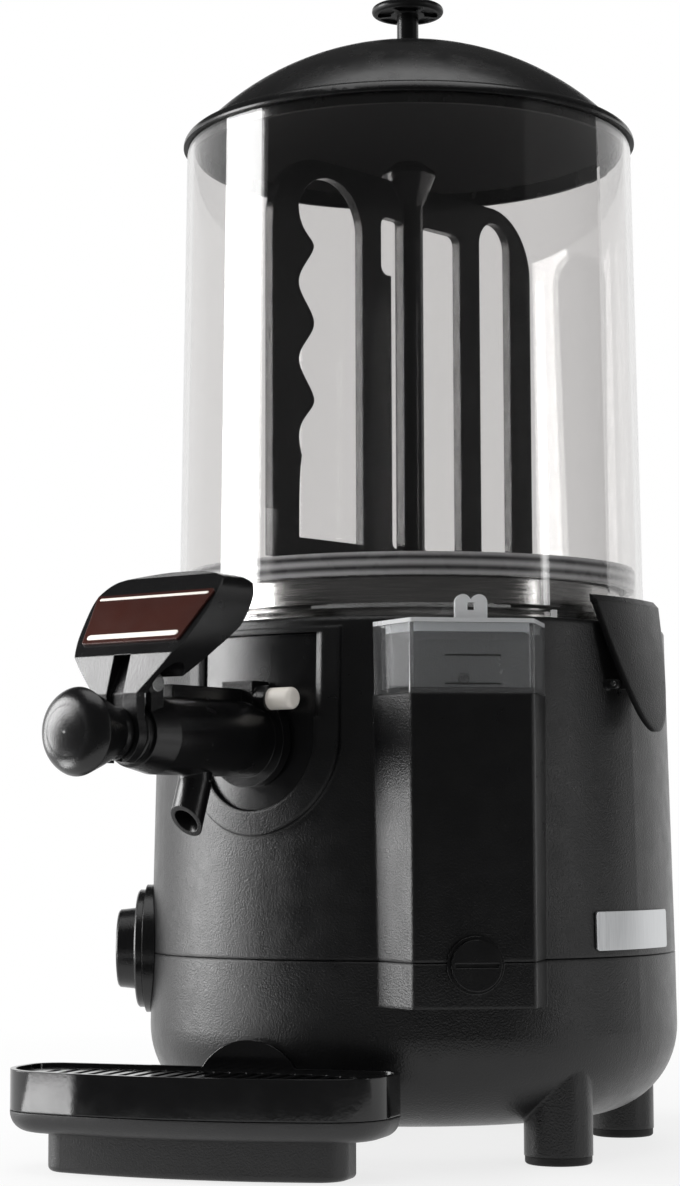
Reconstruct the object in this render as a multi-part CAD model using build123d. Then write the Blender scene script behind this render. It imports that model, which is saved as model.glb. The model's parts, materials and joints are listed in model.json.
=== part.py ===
"""Hot chocolate dispenser: a heated vessel in a casing, a bowl with a stirrer, a tap and a drip tray.

Lengths are millimetres and angles degrees. While it is modelled, the casing's axis is the Z axis, the
table is z = 0 and the tap faces -Y. Angles run from the tap towards +X. Everything is then moved along Y,
so that the origin lies under the middle of the whole dispenser.
"""
import math
import os

from build123d import *

# Casing. Sizes round the axis follow the body's radius.
BODY_RADIUS = 132.0
PARTING_RADIUS = BODY_RADIUS - 0.5
CASING_TOP_RADIUS = BODY_RADIUS - 4.0
BASE_BOTTOM_Z = 17.0
BASE_ROUNDING = 43.0
PARTING_Z = 96.0
PARTING_GROOVE = 0.7
CASING_TOP_Z = 255.0
SHELL = 3.0
MOUTH_RADIUS = CASING_TOP_RADIUS - 7.5
TOP_EDGE_ROUNDING = 2.0

# Legs and their rubber pads
LEG_RADIUS = 16.2
LEG_RING = BODY_RADIUS - 19.5
LEG_ANGLES = (72.0, 143.0, -143.0, -72.0)
LEG_BOTTOM_Z = 4.0
PAD_RADIUS = 15.8
PAD_STUD_RADIUS = 5.0
PAD_STUD_LENGTH = 7.0
PAD_ROUNDING = 1.5

# Bottom cover, let into the base's floor
COVER_OPENING_RADIUS = 66.0
COVER_RADIUS = 82.0
COVER_THICKNESS = 2.5
COVER_SCREW_RING = (COVER_OPENING_RADIUS + COVER_RADIUS) / 2
COVER_SCREW_COUNT = 4
COVER_RECESS = 3.0
COVER_FLOOR = 3.5
COVER_BOSS_HEIGHT = 8.0

# Screws that join the casing halves and hold the support plate
BOSS_RING = BODY_RADIUS - 8.5
BOSS_RADIUS = 6.0
BOSS_ANGLES = (0.0, 95.0, 150.0, -150.0, -95.0)
BASE_BOSS_Z = 70.0
SCREW_RADIUS = 2.0
SCREW_HEAD_RADIUS = 3.8
SCREW_HEAD = 2.6
SCREW_SLOT = 1.0
SCREW_LENGTH = 40.0
SHORT_SCREW_LENGTH = 9.0
HOLE_CLEARANCE = 0.3

# Column with the water level box and the drain
COLUMN_ANGLE = 45.6
COLUMN_FRONT = BODY_RADIUS + 20.0
COLUMN_FRONT_WIDTH = 57.0
COLUMN_ROOT_WIDTH = 84.0
COLUMN_ROOT = BODY_RADIUS - 13.0
COLUMN_EDGE = 2.5
COLUMN_BOTTOM_Z = 75.0
COLUMN_TOP_Z = 217.5
BOX_WALL = 2.5
BOX_TOP_Z = 249.5
BOX_CAP = 2.0
CAP_TAB_WIDTH = 15.0
CAP_TAB_HEIGHT = 11.0
CAP_TAB_THICKNESS = 3.0
CAP_TAB_HOLE = 3.6
CAP_LIP = 4.0
LEVEL_MIN_Z = 221.5
LEVEL_MAX_Z = 234.5
LEVEL_MARK_LENGTH = 26.0
LEVEL_MARK = 0.8
LEVEL_TUBE_Z = 225.0
LEVEL_TUBE_RADIUS = 3.0
LEVEL_TUBE_WALL = 1.0
DRAIN_Z = 94.5
DRAIN_PIPE_RADIUS = 7.0
DRAIN_PIPE_WALL = 1.2
DRAIN_BEND = 14.0
DRAIN_RING = BODY_RADIUS - 29.0
DRAIN_COLLAR_RADIUS = 13.2
DRAIN_COLLAR = 1.6
PLUG_RADIUS = 10.0
PLUG_HEAD = 3.0
PLUG_SHANK = 14.0
PLUG_SLOT = 2.0

# Boiler: steel vessel, water jacket and what heats them
VESSEL_RADIUS = BODY_RADIUS - 27.0
STEEL = 1.5
VESSEL_FLOOR_Z = 186.0
VESSEL_RIM_Z = 281.0
VESSEL_RIM_WIDTH = 3.0
JACKET_RADIUS = BODY_RADIUS - 15.0
JACKET_BOTTOM_Z = 156.0
JACKET_TOP_Z = CASING_TOP_Z - 5.5
JACKET_FLANGE_RADIUS = MOUTH_RADIUS + 3.5
SEAL_HEIGHT = 5.0
SEAL_SKIRT = 6.0
SEAL_TAPER = 0.6
SEAL_EDGE = 1.2
HEATER_RING = 72.0
HEATER_RADIUS = 4.2
HEATER_END_RADIUS = 3.4
HEATER_Z = JACKET_BOTTOM_Z + 12.0
HEATER_END_ANGLES = (168.0, 192.0)
HEATER_END_Z = JACKET_BOTTOM_Z - 22.0
SPACER_RADIUS = 6.0
SPACER_RING = 95.0
SPACER_ANGLES = (80.0, 180.0, -80.0)
CUTOUT_RADIUS = 9.0
CUTOUT_HEIGHT = 8.0
CUTOUT_PLACE = (50.0, 120.0)
CUTOUT_EAR = 14.4
BULB_RADIUS = 3.2
BULB_LENGTH = 46.0
BULB_RING = 60.0

# Support plate, gear motor and stirrer drive
PLATE_Z = JACKET_BOTTOM_Z - 12.0
PLATE_THICKNESS = 2.5
PLATE_RADIUS = BODY_RADIUS - 5.5
GEARBOX_SIZE = 66.0
GEARBOX_HEIGHT = 24.0
GEARBOX_SCREW_PITCH = 54.0
MOTOR_RADIUS = 24.0
MOTOR_HEIGHT = 52.0
MOTOR_OFFSET = 8.0
SHAFT_RADIUS = 3.0
SHAFT_BOTTOM_Z = PLATE_Z - 16.0
TUBE_RADIUS = 5.4
TUBE_WALL = 1.0
BUSH_LENGTH = 12.0
RUNNING_FIT = 0.05

# Stirrer
SLEEVE_RADIUS = 7.3
SLEEVE_BORE = 5.9
STIRRER_TURN = -5.0
STIRRER_BOTTOM_Z = VESSEL_FLOOR_Z + 7.0
HUB_TOP_Z = 500.0
HUB_HEIGHT = 23.0
HUB_RADIUS = 14.0
HUB_TUBE_GAP = 2.0
FRAME_BOTTOM_Z = 288.0
FRAME_TOP_Z = 488.0
FRAME_BAR = 10.0
FRAME_THICKNESS = 5.0
FRAME_CORNER = 34.0
WAVY_FRAME_RADIUS = BODY_RADIUS - 27.0
WAVY_LEG_INNER = (39.4, 25.0, 17.2)
WAVY_LEG_STEP = 50.0
WAVE_VALLEY = WAVY_FRAME_RADIUS - 18.4
WAVE_PEAK = WAVY_FRAME_RADIUS - 29.3
WAVE_COUNT = 4
WAVE_TOP_Z = FRAME_TOP_Z - 25.0
WAVE_FOOT = 11.0
PLAIN_FRAME_RADIUS = BODY_RADIUS - 32.0
PLAIN_LEGS = (38.8, 55.4, 81.9)
WINDOW_CORNER = 5.0
ARCH_Z = FRAME_TOP_Z - 8.0
SCRAPER_RADIUS = VESSEL_RADIUS - 7.0
SCRAPER_HEIGHT = 34.0
SCRAPER_THICKNESS = 4.0
SHAFT_TOP_Z = HUB_TOP_Z - 7.0
TUBE_TOP_Z = HUB_TOP_Z - 27.0
DRIVE_PIN_RADIUS = 1.25
DRIVE_PIN_LENGTH = 16.0
DRIVE_PIN_Z = HUB_TOP_Z - 15.0

# Clear bowl and lid
BOWL_BOTTOM_RADIUS = BODY_RADIUS - 13.8
BOWL_TOP_RADIUS = BODY_RADIUS - 17.5
BOWL_WALL = 3.2
BOWL_TOP_Z = 507.0
BOWL_FLANGE_RADIUS = CASING_TOP_RADIUS - 4.5
BOWL_FLANGE = 5.5
BOWL_FLANGE_EDGE = 1.5
BOWL_ROOT = 1.0
LID_RADIUS = BOWL_TOP_RADIUS + 2.0
LID_EDGE = 7.0
LID_EDGE_RISE = 6.0
LID_EDGE_FOOT = 1.2
LID_THICKNESS = 2.6
LID_DOME_RISE = 47.5
LID_SKIRT = 5.0
LID_SKIRT_WALL = 2.2
LID_FIT = 0.5
KNOB_STEM_RADIUS = 5.6
KNOB_FOOT_RADIUS = 14.0
KNOB_FOOT = 1.2
KNOB_RADIUS = 18.6
KNOB_RISE = 23.0
KNOB_THICKNESS = 4.2
KNOB_DISH = 1.4
KNOB_RIM = 3.0
KNOB_EDGE = 1.9
KNOB_RIBS = 5
KNOB_RIB = 2.4
LID_SCREW_LENGTH = 14.0

# Bowl clips at the sides
CLIP_TOP_Z = BOX_TOP_Z + 17.5
CLIP_TIP_Z = CLIP_TOP_Z - 65.0
CLIP_HALF_WIDTH = 30.0
CLIP_STANDOFF = 3.2
CLIP_LEAN = 12.4
CLIP_WALL = 3.0
CLIP_LIP_GAP = 0.8
CLIP_LIP = 4.0
CLIP_STEPS = (1.0, 0.72, 0.45, 0.2, 0.06)
CLIP_LIP_EDGE = 1.0
CLIP_EDGE = 3.0
CLIP_PIVOT_Z = CLIP_TOP_Z - 42.5
CLIP_PIVOT_OFFSET = 2.9
CLIP_PIN_RADIUS = 1.2
CLIP_KNUCKLE_RADIUS = 2.4
CLIP_KNUCKLE_WIDTH = 34.0
CLIP_EAR = 3.0
CLIP_EAR_RADIUS = 2.2
CLIP_GAP = 0.4
PIN_PROUD = 0.6

# Tap. Distances forward of the axis follow the body's radius.
TAP_Z = 198.0
WINDOW_HALF_WIDTH = 33.5
WINDOW_RISE = 52.0
WINDOW_TOP_Z = TAP_Z + WINDOW_RISE
WINDOW_BORDER = 11.5
BORDER_PROUD = 2.5
BORDER_EDGE = 1.0
BEVEL_RUN = 3.4
BEVEL_DEPTH = 1.6
BEVEL_FOOT = 10.0
PANEL_GAP = 0.4
OUTLET_RADIUS = 12.0
OUTLET_WALL = 2.0
OUTLET_END = BODY_RADIUS + 2.0
BARREL_RADIUS = 17.7
BARREL_BORE = 12.0
BARREL_BACK = BODY_RADIUS - 12.5
BARREL_NOSE = BODY_RADIUS + 71.0
BARREL_NOSE_RADIUS = 15.0
BARREL_FRONT = BODY_RADIUS + 85.0
SOCKET_RADIUS = 13.6
SOCKET_END = BODY_RADIUS + 8.0
FLANGE_RADIUS = 22.5
FLANGE_BACK = BODY_RADIUS - 1.8
FLANGE = 5.5
RIB_WIDTH = 5.0
RIB_RISE = 5.6
RIB_END = BODY_RADIUS + 60.0
LUG_WIDTH = 18.0
LUG_BACK = BODY_RADIUS - 2.2
LUG_FRONT = BODY_RADIUS + 10.0
LUG_RISE = 27.0
LOCK_PIN_RADIUS = 5.2
LOCK_PIN_PLACE = (BODY_RADIUS + 3.4, TAP_Z + 18.5)
LOCK_PIN_SPAN = (-13.0, 29.0)
LUG_COLLAR_RADIUS = 6.5
LUG_COLLAR_END = 15.5
LOCK_PIN_EDGE = 2.2
SPOUT_PLACE = BODY_RADIUS + 40.5
SPOUT_RADIUS = 7.8
SPOUT_BORE = 5.6
SPOUT_DROP = 45.5
SPOUT_LIP = 18.0
SPOUT_LEAN = 19.0
SPOUT_BEND = 20.0
GLAND_RADIUS = 13.6
GLAND = 4.5
GLAND_PLUG = 2.0
GLAND_EDGE = 1.2
PISTON_BACK = SPOUT_PLACE - 11.0
PISTON_FRONT = SPOUT_PLACE + 14.5
PISTON_FIT = 0.08
STEM_RADIUS = 4.0
PISTON_SEALS = (SPOUT_PLACE - 8.6, SPOUT_PLACE + 7.4)
PISTON_SEAL = 2.0
PISTON_SEAL_DEPTH = 1.6
SPRING_RADIUS = 10.0
SPRING_BORE = 6.5
SPRING_END_GAP = 0.3
BALL_RADIUS = 19.5
BALL_BACK = BARREL_FRONT + 12.2
BALL_COLLAR = 4.0
BALL_COLLAR_RADIUS = 12.0
BALL_WIDEST = BALL_BACK + 23.5
BALL_FRONT = BALL_WIDEST + 8.6
BALL_CROWN_RADIUS = 11.0
BALL_CROWN_DROP = 1.5
BALL_SWELL = 0.74
BALL_SWELL_PLACE = 0.3
BALL_SHOULDER = 0.85
BALL_SHOULDER_PLACE = 0.53

# Tap lever
PIVOT_Y = BARREL_FRONT - 3.0
PIVOT_Z = TAP_Z + 22.5
PIVOT_PIN_RADIUS = 2.5
PIVOT_PIN_LENGTH = 26.0
PIVOT_HEAD_RADIUS = 4.0
PIVOT_HEAD = 1.5
EAR_RADIUS = 5.5
EAR_THICKNESS = 3.5
EAR_ROOM = 3.0
HUB_HALF_WIDTH = 7.6
HUB_CLEARANCE = 0.4
LEVER_HUB_RADIUS = 4.0
FORK_BACK = PIVOT_Y + 9.0
FORK_FRONT = PIVOT_Y + 14.4
FORK_RADIUS = 14.5
FORK_HALF_GAP = 4.8
FORK_ROOF = 6.5
FORK_FOOT = 13.0
LEVER_PLATE_TOP = (PIVOT_Y - 14.7, PIVOT_Z + 41.9)
LEVER_PLATE_BOTTOM = (PIVOT_Y + 4.7, PIVOT_Z + 17.5)
LEVER_CHIN = (PIVOT_Y + 9.2, PIVOT_Z + 12.5)
LEVER_NECK_Z = PIVOT_Z - 5.0
LEVER_HALF_WIDTH = 36.0
LEVER_NECK_HALF_WIDTH = 13.0
LEVER_CORNER = (28.5, 49.4)
LEVER_CHEEK = ((34.2, 45.6), (36.0, 38.5), (34.9, 29.5), (31.8, 18.0), (25.8, 9.0), (18.6, 1.0))
LEVER_CROWN_RISE = 53.0
LEVER_BACK = (
    (-7.0, 2.0), (-19.4, 15.9), (-32.0, 26.5), (-35.5, 32.5), (-39.5, 41.5), (-41.0, 46.0), (-38.0, 50.0),
    (-32.0, 52.8), (-24.0, 50.0),
)
LEVER_GROOVE = 2.5
LEVER_GROOVE_TOP = 7.0
PLATE_MARGIN = 1.4
PLATE_FOOT_HALF_WIDTH = 28.2
LEVER_PLATE = 1.0

# Thermostat dial
DIAL_ANGLE = -55.0
DIAL_Z = PARTING_Z + 1.0
DIAL_BASE_RADIUS = 32.0
DIAL_BASE_FRONT = BODY_RADIUS + 2.2
DIAL_SKIRT_RADIUS = 29.5
DIAL_SKIRT = 3.9
DIAL_GRIP_RADIUS = 20.5
DIAL_GRIP = 10.0
DIAL_GRIP_TAPER = 1.0
DIAL_EDGE = 0.8
DIAL_POINTER = 1.6
DIAL_SPINDLE_RADIUS = 3.0
DIAL_GAP = 0.3
THERMOSTAT_RADIUS = 14.0
THERMOSTAT_DEPTH = 22.0
THERMOSTAT_NECK_RADIUS = 5.5

# Side plate, cable gland and terminal block
SIDE_PLATE_WIDTH = 64.0
SIDE_PLATE_Z = (PARTING_Z + 3.0, PARTING_Z + 21.2)
SIDE_PLATE = 1.0
SIDE_PLATE_CORNER = 1.8
SIDE_PLATE_ANGLE = 89.5
CABLE_GLAND_Z = 74.0
CABLE_GLAND_RADIUS = 9.0
CABLE_GLAND_BORE = 4.0
CABLE_GLAND_PROUD = 8.0
CABLE_GLAND_NUT = 5.0
TERMINAL_SIZE = (44.0, 22.0, 20.0)
TERMINAL_PLACE = 30.0
TERMINAL_SCREWS = 5

# Drip tray, turned a little from the tap
TRAY_TURN = 17.0
TRAY_SHIFT = -52.0
TRAY_HALF_WIDTH = 92.0
TRAY_DEPTH = 63.0
TRAY_GAP = 0.6
TRAY_BOW = 17.0
TRAY_CORNER = 28.0
TRAY_BACK_CORNER = 14.0
TRAY_RIM_Z = 46.5
TRAY_BAND_Z = 28.0
TRAY_LIP_Z = 18.0
TRAY_FLOOR_Z = 22.0
TRAY_LIP_WALL = 2.6
TRAY_LIP_ROUNDING = 9.0
TRAY_WALL = 2.6
TRAY_SEAM = 0.5
TRAY_ROUNDING = 4.0
TRAY_LEDGE = 3.0
TRAY_TAB_PLACE = 15.0
TRAY_TAB_WIDTH = 46.0
TRAY_TAB_RISE = 12.5
GRILLE_DEPTH = 4.5
GRILLE_THICKNESS = 2.8
GRILLE_GAP = 0.5
GRILLE_SLOT = 4.0
GRILLE_PITCH = 8.0
GRILLE_BORDER = 7.0
STAND_INSET = 14.0
STAND_END_INSET = 19.0

# The dispenser reaches from the ball knob to the cable gland, and the origin lies halfway
AXIS_Y = (BALL_FRONT - BODY_RADIUS - CABLE_GLAND_PROUD) / 2


def turned(points):
    """Solid turned about the Z axis from an outline of radii and heights."""
    return revolve(Plane.XZ * make_face(Polyline(points, close=True)), Axis.Z)


def ring(outer, inner, z_low, z_high):
    """Flat ring, or a disc where the inner radius is 0."""
    return turned([(inner, z_low), (outer, z_low), (outer, z_high), (inner, z_high)])


def upright(radius, z_low, z_high, x=0.0, y=0.0):
    return Pos(x, y, (z_low + z_high) / 2) * Cylinder(radius, z_high - z_low)


def along_y(radius, near, far, z, x=0.0):
    """Round bar that runs forward from near to far, both counted from the axis towards the tap."""
    return Pos(x, -(near + far) / 2, z) * Rot(90, 0, 0) * Cylinder(radius, abs(far - near))


def along_x(radius, x_low, x_high, forward, z):
    return Pos((x_low + x_high) / 2, -forward, z) * Rot(0, 90, 0) * Cylinder(radius, x_high - x_low)


def block(x_low, x_high, near, far, z_low, z_high):
    """Box between two distances forward of the axis."""
    centre = Pos((x_low + x_high) / 2, -(near + far) / 2, (z_low + z_high) / 2)
    return centre * Box(x_high - x_low, abs(far - near), z_high - z_low)


def turn_to(angle, shape):
    """Turns a shape that was built at the tap's side to an angle round the casing."""
    return Rot(0, 0, angle) * shape


def spot(ring_radius, angle):
    """Place on a ring, at an angle from the tap."""
    return ring_radius * math.sin(math.radians(angle)), -ring_radius * math.cos(math.radians(angle))


def uprights(radius, z_low, z_high, ring_radius, angles):
    return [upright(radius, z_low, z_high, *spot(ring_radius, angle)) for angle in angles]


def turned_forward(points):
    """Solid turned about the tap's axis, from radii and distances forward of the casing's axis."""
    return Pos(0, 0, TAP_Z) * Rot(90, 0, 0) * turned(points)


def screws(length, head_z, places, upwards):
    """Group of screws, each with a round head and a plain shank."""
    sign = 1 if upwards else -1
    group = []
    for x, y in places:
        shank = upright(SCREW_RADIUS, *sorted((head_z, head_z + sign * length)), x, y)
        head = upright(SCREW_HEAD_RADIUS, *sorted((head_z, head_z - sign * SCREW_HEAD)), x, y)
        slot = Pos(x, y, head_z - sign * SCREW_HEAD) * Box(2 * SCREW_HEAD_RADIUS, SCREW_SLOT, SCREW_HEAD)
        group.append(head + shank - slot)
    return group


def casing_radius(z):
    """Outer radius of the upper casing, which draws in towards its top."""
    share = (z - PARTING_Z) / (CASING_TOP_Z - PARTING_Z)
    return PARTING_RADIUS + (CASING_TOP_RADIUS - PARTING_RADIUS) * share


def casing_skin(inner, outer, z_low, z_high):
    """Turned skin between two distances from the upper casing's outer face."""
    low, high = casing_radius(z_low), casing_radius(z_high)
    foot = [(low + inner, z_low), (low + outer, z_low)]
    return turned(foot + [(high + outer, z_high), (high + inner, z_high)])


def casing_core(offset, z_low, z_high):
    """Solid core of the upper casing, out to a distance from its outer face."""
    return turned([(0, z_low), (casing_radius(z_low) + offset, z_low),
                   (casing_radius(z_high) + offset, z_high), (0, z_high)])


def base_core(inset):
    """Solid of the base with its rounded foot, drawn in by the inset."""
    flat = BODY_RADIUS - BASE_ROUNDING
    bend_z = BASE_BOTTOM_Z + BASE_ROUNDING
    bend = BASE_ROUNDING - inset
    diagonal = bend * math.sqrt(0.5)
    outline = [
        Line((0, BASE_BOTTOM_Z + inset), (flat, BASE_BOTTOM_Z + inset)),
        ThreePointArc(
            (flat, BASE_BOTTOM_Z + inset), (flat + diagonal, bend_z - diagonal), (flat + bend, bend_z),
        ),
        Line((flat + bend, bend_z), (PARTING_RADIUS - inset, PARTING_Z)),
        Line((PARTING_RADIUS - inset, PARTING_Z), (0, PARTING_Z)),
        Line((0, PARTING_Z), (0, BASE_BOTTOM_Z + inset)),
    ]
    return revolve(Plane.XZ * make_face(outline), Axis.Z)


def column_plan(inset):
    """Plan of the column at the tap's side: a front face with two splayed sides and rounded front edges."""
    front, root = COLUMN_FRONT_WIDTH / 2, COLUMN_ROOT_WIDTH / 2
    tail = COLUMN_ROOT - 4 * SHELL
    plan = make_face(Polyline(
        (-root, -tail), (-root, -COLUMN_ROOT), (-front, -COLUMN_FRONT), (front, -COLUMN_FRONT),
        (root, -COLUMN_ROOT), (root, -tail), close=True,
    ))
    if inset:
        plan = offset(plan, -inset, kind=Kind.INTERSECTION)
    if inset < COLUMN_EDGE:
        plan = fillet(plan.vertices().sort_by(Axis.Y)[:2], COLUMN_EDGE - inset)
    return plan


def column_block(inset, z_low, z_high):
    return turn_to(COLUMN_ANGLE, Pos(0, 0, z_low) * extrude(column_plan(inset), amount=z_high - z_low))


def column_hole(radius):
    """Round hole through the column's front face, for the drain plug."""
    return turn_to(COLUMN_ANGLE, along_y(radius, COLUMN_FRONT - 2 * SHELL, COLUMN_FRONT + SHELL, DRAIN_Z))


def dial_hole():
    """Hole for the thermostat's neck, half in each casing half."""
    return turn_to(DIAL_ANGLE, along_y(THERMOSTAT_NECK_RADIUS + HOLE_CLEARANCE, BODY_RADIUS - 3 * SHELL,
                                       BODY_RADIUS + SHELL, DIAL_Z))


def parting_seam():
    """Shadow gap round the base's top edge, where the two casing halves meet."""
    low, high = PARTING_Z - PARTING_GROOVE, PARTING_Z
    seam = upright(2 * BODY_RADIUS, low, high) - upright(PARTING_RADIUS - PARTING_GROOVE, low, high)
    return seam - column_block(PARTING_GROOVE, low, high)


def base_shell():
    """Lower casing half: rounded foot, four legs, screw bosses and the foot of the column."""
    outer = base_core(0)
    for leg in uprights(LEG_RADIUS, LEG_BOTTOM_Z, BASE_BOTTOM_Z + BASE_ROUNDING, LEG_RING, LEG_ANGLES):
        outer += leg
    outer += column_block(0, COLUMN_BOTTOM_Z, PARTING_Z)
    shell = outer - base_core(SHELL) - column_block(SHELL, COLUMN_BOTTOM_Z + SHELL, PARTING_Z)
    floor_z = cover_top_z() + COVER_FLOOR
    shell += ring(COVER_RADIUS + SHELL, COVER_OPENING_RADIUS, BASE_BOTTOM_Z, floor_z)
    for boss in uprights(BOSS_RADIUS, BASE_BOSS_Z, PARTING_Z, BOSS_RING, BOSS_ANGLES):
        shell += boss
    for boss in uprights(BOSS_RADIUS, cover_top_z(), floor_z + COVER_BOSS_HEIGHT, COVER_SCREW_RING,
                         cover_screw_angles()):
        shell += boss
    shell -= upright(COVER_RADIUS + PANEL_GAP, BASE_BOTTOM_Z - SHELL, cover_top_z())
    shell -= upright(COVER_OPENING_RADIUS, BASE_BOTTOM_Z, floor_z)
    clear_radius = SCREW_RADIUS + HOLE_CLEARANCE
    for hole in uprights(clear_radius, BASE_BOSS_Z - SHELL, PARTING_Z, BOSS_RING, BOSS_ANGLES):
        shell -= hole
    for hole in uprights(SCREW_RADIUS, cover_top_z(), cover_top_z() + SHORT_SCREW_LENGTH, COVER_SCREW_RING,
                         cover_screw_angles()):
        shell -= hole
    for hole in uprights(PAD_STUD_RADIUS, LEG_BOTTOM_Z, LEG_BOTTOM_Z + PAD_STUD_LENGTH, LEG_RING, LEG_ANGLES):
        shell -= hole
    gland_hole = turn_to(180, along_y(CABLE_GLAND_BORE + SCREW_RADIUS, BODY_RADIUS - 3 * SHELL,
                                      BODY_RADIUS + SHELL, CABLE_GLAND_Z))
    return shell - parting_seam() - column_hole(PLUG_RADIUS) - dial_hole() - gland_hole


def cover_screw_angles():
    return [45 + 360 / COVER_SCREW_COUNT * n for n in range(COVER_SCREW_COUNT)]


def foot_pads():
    """Rubber pads under the legs, each with a stud pushed into its leg."""
    pad = upright(PAD_RADIUS, 0, LEG_BOTTOM_Z)
    pad = fillet(pad.edges().sort_by(Axis.Z)[0], PAD_ROUNDING)
    pad += upright(PAD_STUD_RADIUS - HOLE_CLEARANCE, LEG_BOTTOM_Z, LEG_BOTTOM_Z + PAD_STUD_LENGTH)
    return [Pos(*spot(LEG_RING, angle), 0) * pad for angle in LEG_ANGLES]


def cover_top_z():
    """Height of the bottom cover's upper face, inside its recess in the base's floor."""
    return BASE_BOTTOM_Z + COVER_RECESS + COVER_THICKNESS


def bottom_cover():
    low, high = cover_top_z() - COVER_THICKNESS, cover_top_z()
    cover = upright(COVER_RADIUS, low, high)
    for hole in uprights(SCREW_RADIUS + HOLE_CLEARANCE, low, high, COVER_SCREW_RING, cover_screw_angles()):
        cover -= hole
    return cover


def cover_screws():
    places = [spot(COVER_SCREW_RING, angle) for angle in cover_screw_angles()]
    return screws(COVER_THICKNESS + SHORT_SCREW_LENGTH, cover_top_z() - COVER_THICKNESS, places, True)


def window_outline(half_width, top_z):
    """Upright window round the tap: straight sides, a half-round foot and a flat top."""
    return make_face([
        Line((half_width, TAP_Z), (half_width, top_z)),
        Line((half_width, top_z), (-half_width, top_z)),
        Line((-half_width, top_z), (-half_width, TAP_Z)),
        ThreePointArc((-half_width, TAP_Z), (0, TAP_Z - half_width), (half_width, TAP_Z)),
    ])


def border_bevel(side):
    """Wedge that slants the inner edge of the window's border, on one upright side."""
    slices = []
    for z in (TAP_Z + BEVEL_FOOT, WINDOW_TOP_Z - BORDER_PROUD):
        face = casing_radius(z) + BORDER_PROUD
        inner, outer = WINDOW_HALF_WIDTH, WINDOW_HALF_WIDTH + BEVEL_RUN
        near = -math.sqrt(face ** 2 - inner ** 2) + BEVEL_DEPTH
        far = -math.sqrt(face ** 2 - outer ** 2)
        ahead = -face - BEVEL_DEPTH
        points = [(inner - BEVEL_DEPTH, near), (inner, near), (outer, far), (outer, ahead),
                  (inner - BEVEL_DEPTH, ahead)]
        slices.append(Pos(0, 0, z) * make_face(Polyline([(side * x, y) for x, y in points], close=True)))
    return loft(slices)


def window_block(half_width, top_z):
    """The window's outline, run forward through the front of the casing."""
    reach = 2 * BORDER_PROUD + 2 * SHELL + half_width
    front = -(BODY_RADIUS + 2 * BORDER_PROUD)
    return Pos(0, front + reach, 0) * extrude(Plane.XZ * window_outline(half_width, top_z), amount=reach)


def clip_ears(angle):
    """Two ears on the casing that carry a clip's pin."""
    ears = None
    inner = CLIP_KNUCKLE_WIDTH / 2 + CLIP_GAP
    for side in (-1, 1):
        low, high = sorted((side * inner, side * (inner + CLIP_EAR)))
        ear = along_x(CLIP_EAR_RADIUS, low, high, clip_pivot(), CLIP_PIVOT_Z)
        ear += block(low, high, clip_pivot() - CLIP_PIVOT_OFFSET - SHELL, clip_pivot(),
                     CLIP_PIVOT_Z - CLIP_EAR_RADIUS, CLIP_PIVOT_Z + CLIP_EAR_RADIUS)
        ears = ear if ears is None else ears + ear
    ears -= along_x(CLIP_PIN_RADIUS, -CLIP_HALF_WIDTH, CLIP_HALF_WIDTH, clip_pivot(), CLIP_PIVOT_Z)
    return turn_to(angle, ears - casing_core(-SHELL, PARTING_Z, CASING_TOP_Z))


def clip_pivot():
    """Distance of a clip's pin from the casing's axis."""
    return casing_radius(CLIP_PIVOT_Z) + CLIP_PIVOT_OFFSET


def upper_casing():
    """Upper casing half: tapered shell, rim, bordered tap window, column, bosses and clip ears."""
    shell = casing_core(0, PARTING_Z, CASING_TOP_Z)
    shell = fillet(shell.edges().sort_by(Axis.Z)[-1], TOP_EDGE_ROUNDING)
    shell -= casing_core(-SHELL, PARTING_Z, CASING_TOP_Z - SHELL)
    shell -= upright(MOUTH_RADIUS, PARTING_Z, CASING_TOP_Z)
    border = window_block(WINDOW_HALF_WIDTH + WINDOW_BORDER, WINDOW_TOP_Z)
    border &= casing_skin(-SHELL / 2, BORDER_PROUD, PARTING_Z, CASING_TOP_Z)
    border = fillet(border.edges().filter_by(lambda e: e.center().Y < -casing_radius(WINDOW_TOP_Z) - 0.1
                                             and e.center().Z < TAP_Z - WINDOW_HALF_WIDTH), BORDER_EDGE)
    shell += border
    column = column_block(0, PARTING_Z, COLUMN_TOP_Z) - casing_core(-SHELL, PARTING_Z, CASING_TOP_Z)
    shell += column
    shell -= column_block(SHELL, PARTING_Z, COLUMN_TOP_Z - SHELL)
    for boss in uprights(BOSS_RADIUS, PARTING_Z, PLATE_Z, BOSS_RING, BOSS_ANGLES):
        shell += boss
    for hole in uprights(SCREW_RADIUS, PARTING_Z, PLATE_Z, BOSS_RING, BOSS_ANGLES):
        shell -= hole
    for angle in (90, -90):
        shell += clip_ears(angle)
    shell -= window_block(WINDOW_HALF_WIDTH, WINDOW_TOP_Z - BORDER_PROUD)
    for side in (-1, 1):
        shell -= border_bevel(side)
    shell -= turn_to(COLUMN_ANGLE, along_y(LEVEL_TUBE_RADIUS, MOUTH_RADIUS, BODY_RADIUS, LEVEL_TUBE_Z))
    return shell - column_hole(PLUG_RADIUS) - dial_hole()


def tap_panel():
    """Panel that fills the casing's window round the tap."""
    panel = window_block(WINDOW_HALF_WIDTH - PANEL_GAP, WINDOW_TOP_Z - BORDER_PROUD - PANEL_GAP)
    panel &= casing_skin(-SHELL, 0, PARTING_Z, CASING_TOP_Z)
    return panel - along_y(BARREL_RADIUS + PANEL_GAP, MOUTH_RADIUS, BODY_RADIUS + SHELL, TAP_Z)


def casing_screws():
    places = [spot(BOSS_RING, angle) for angle in BOSS_ANGLES]
    return screws(SCREW_LENGTH, BASE_BOSS_Z, places, True)


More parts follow.
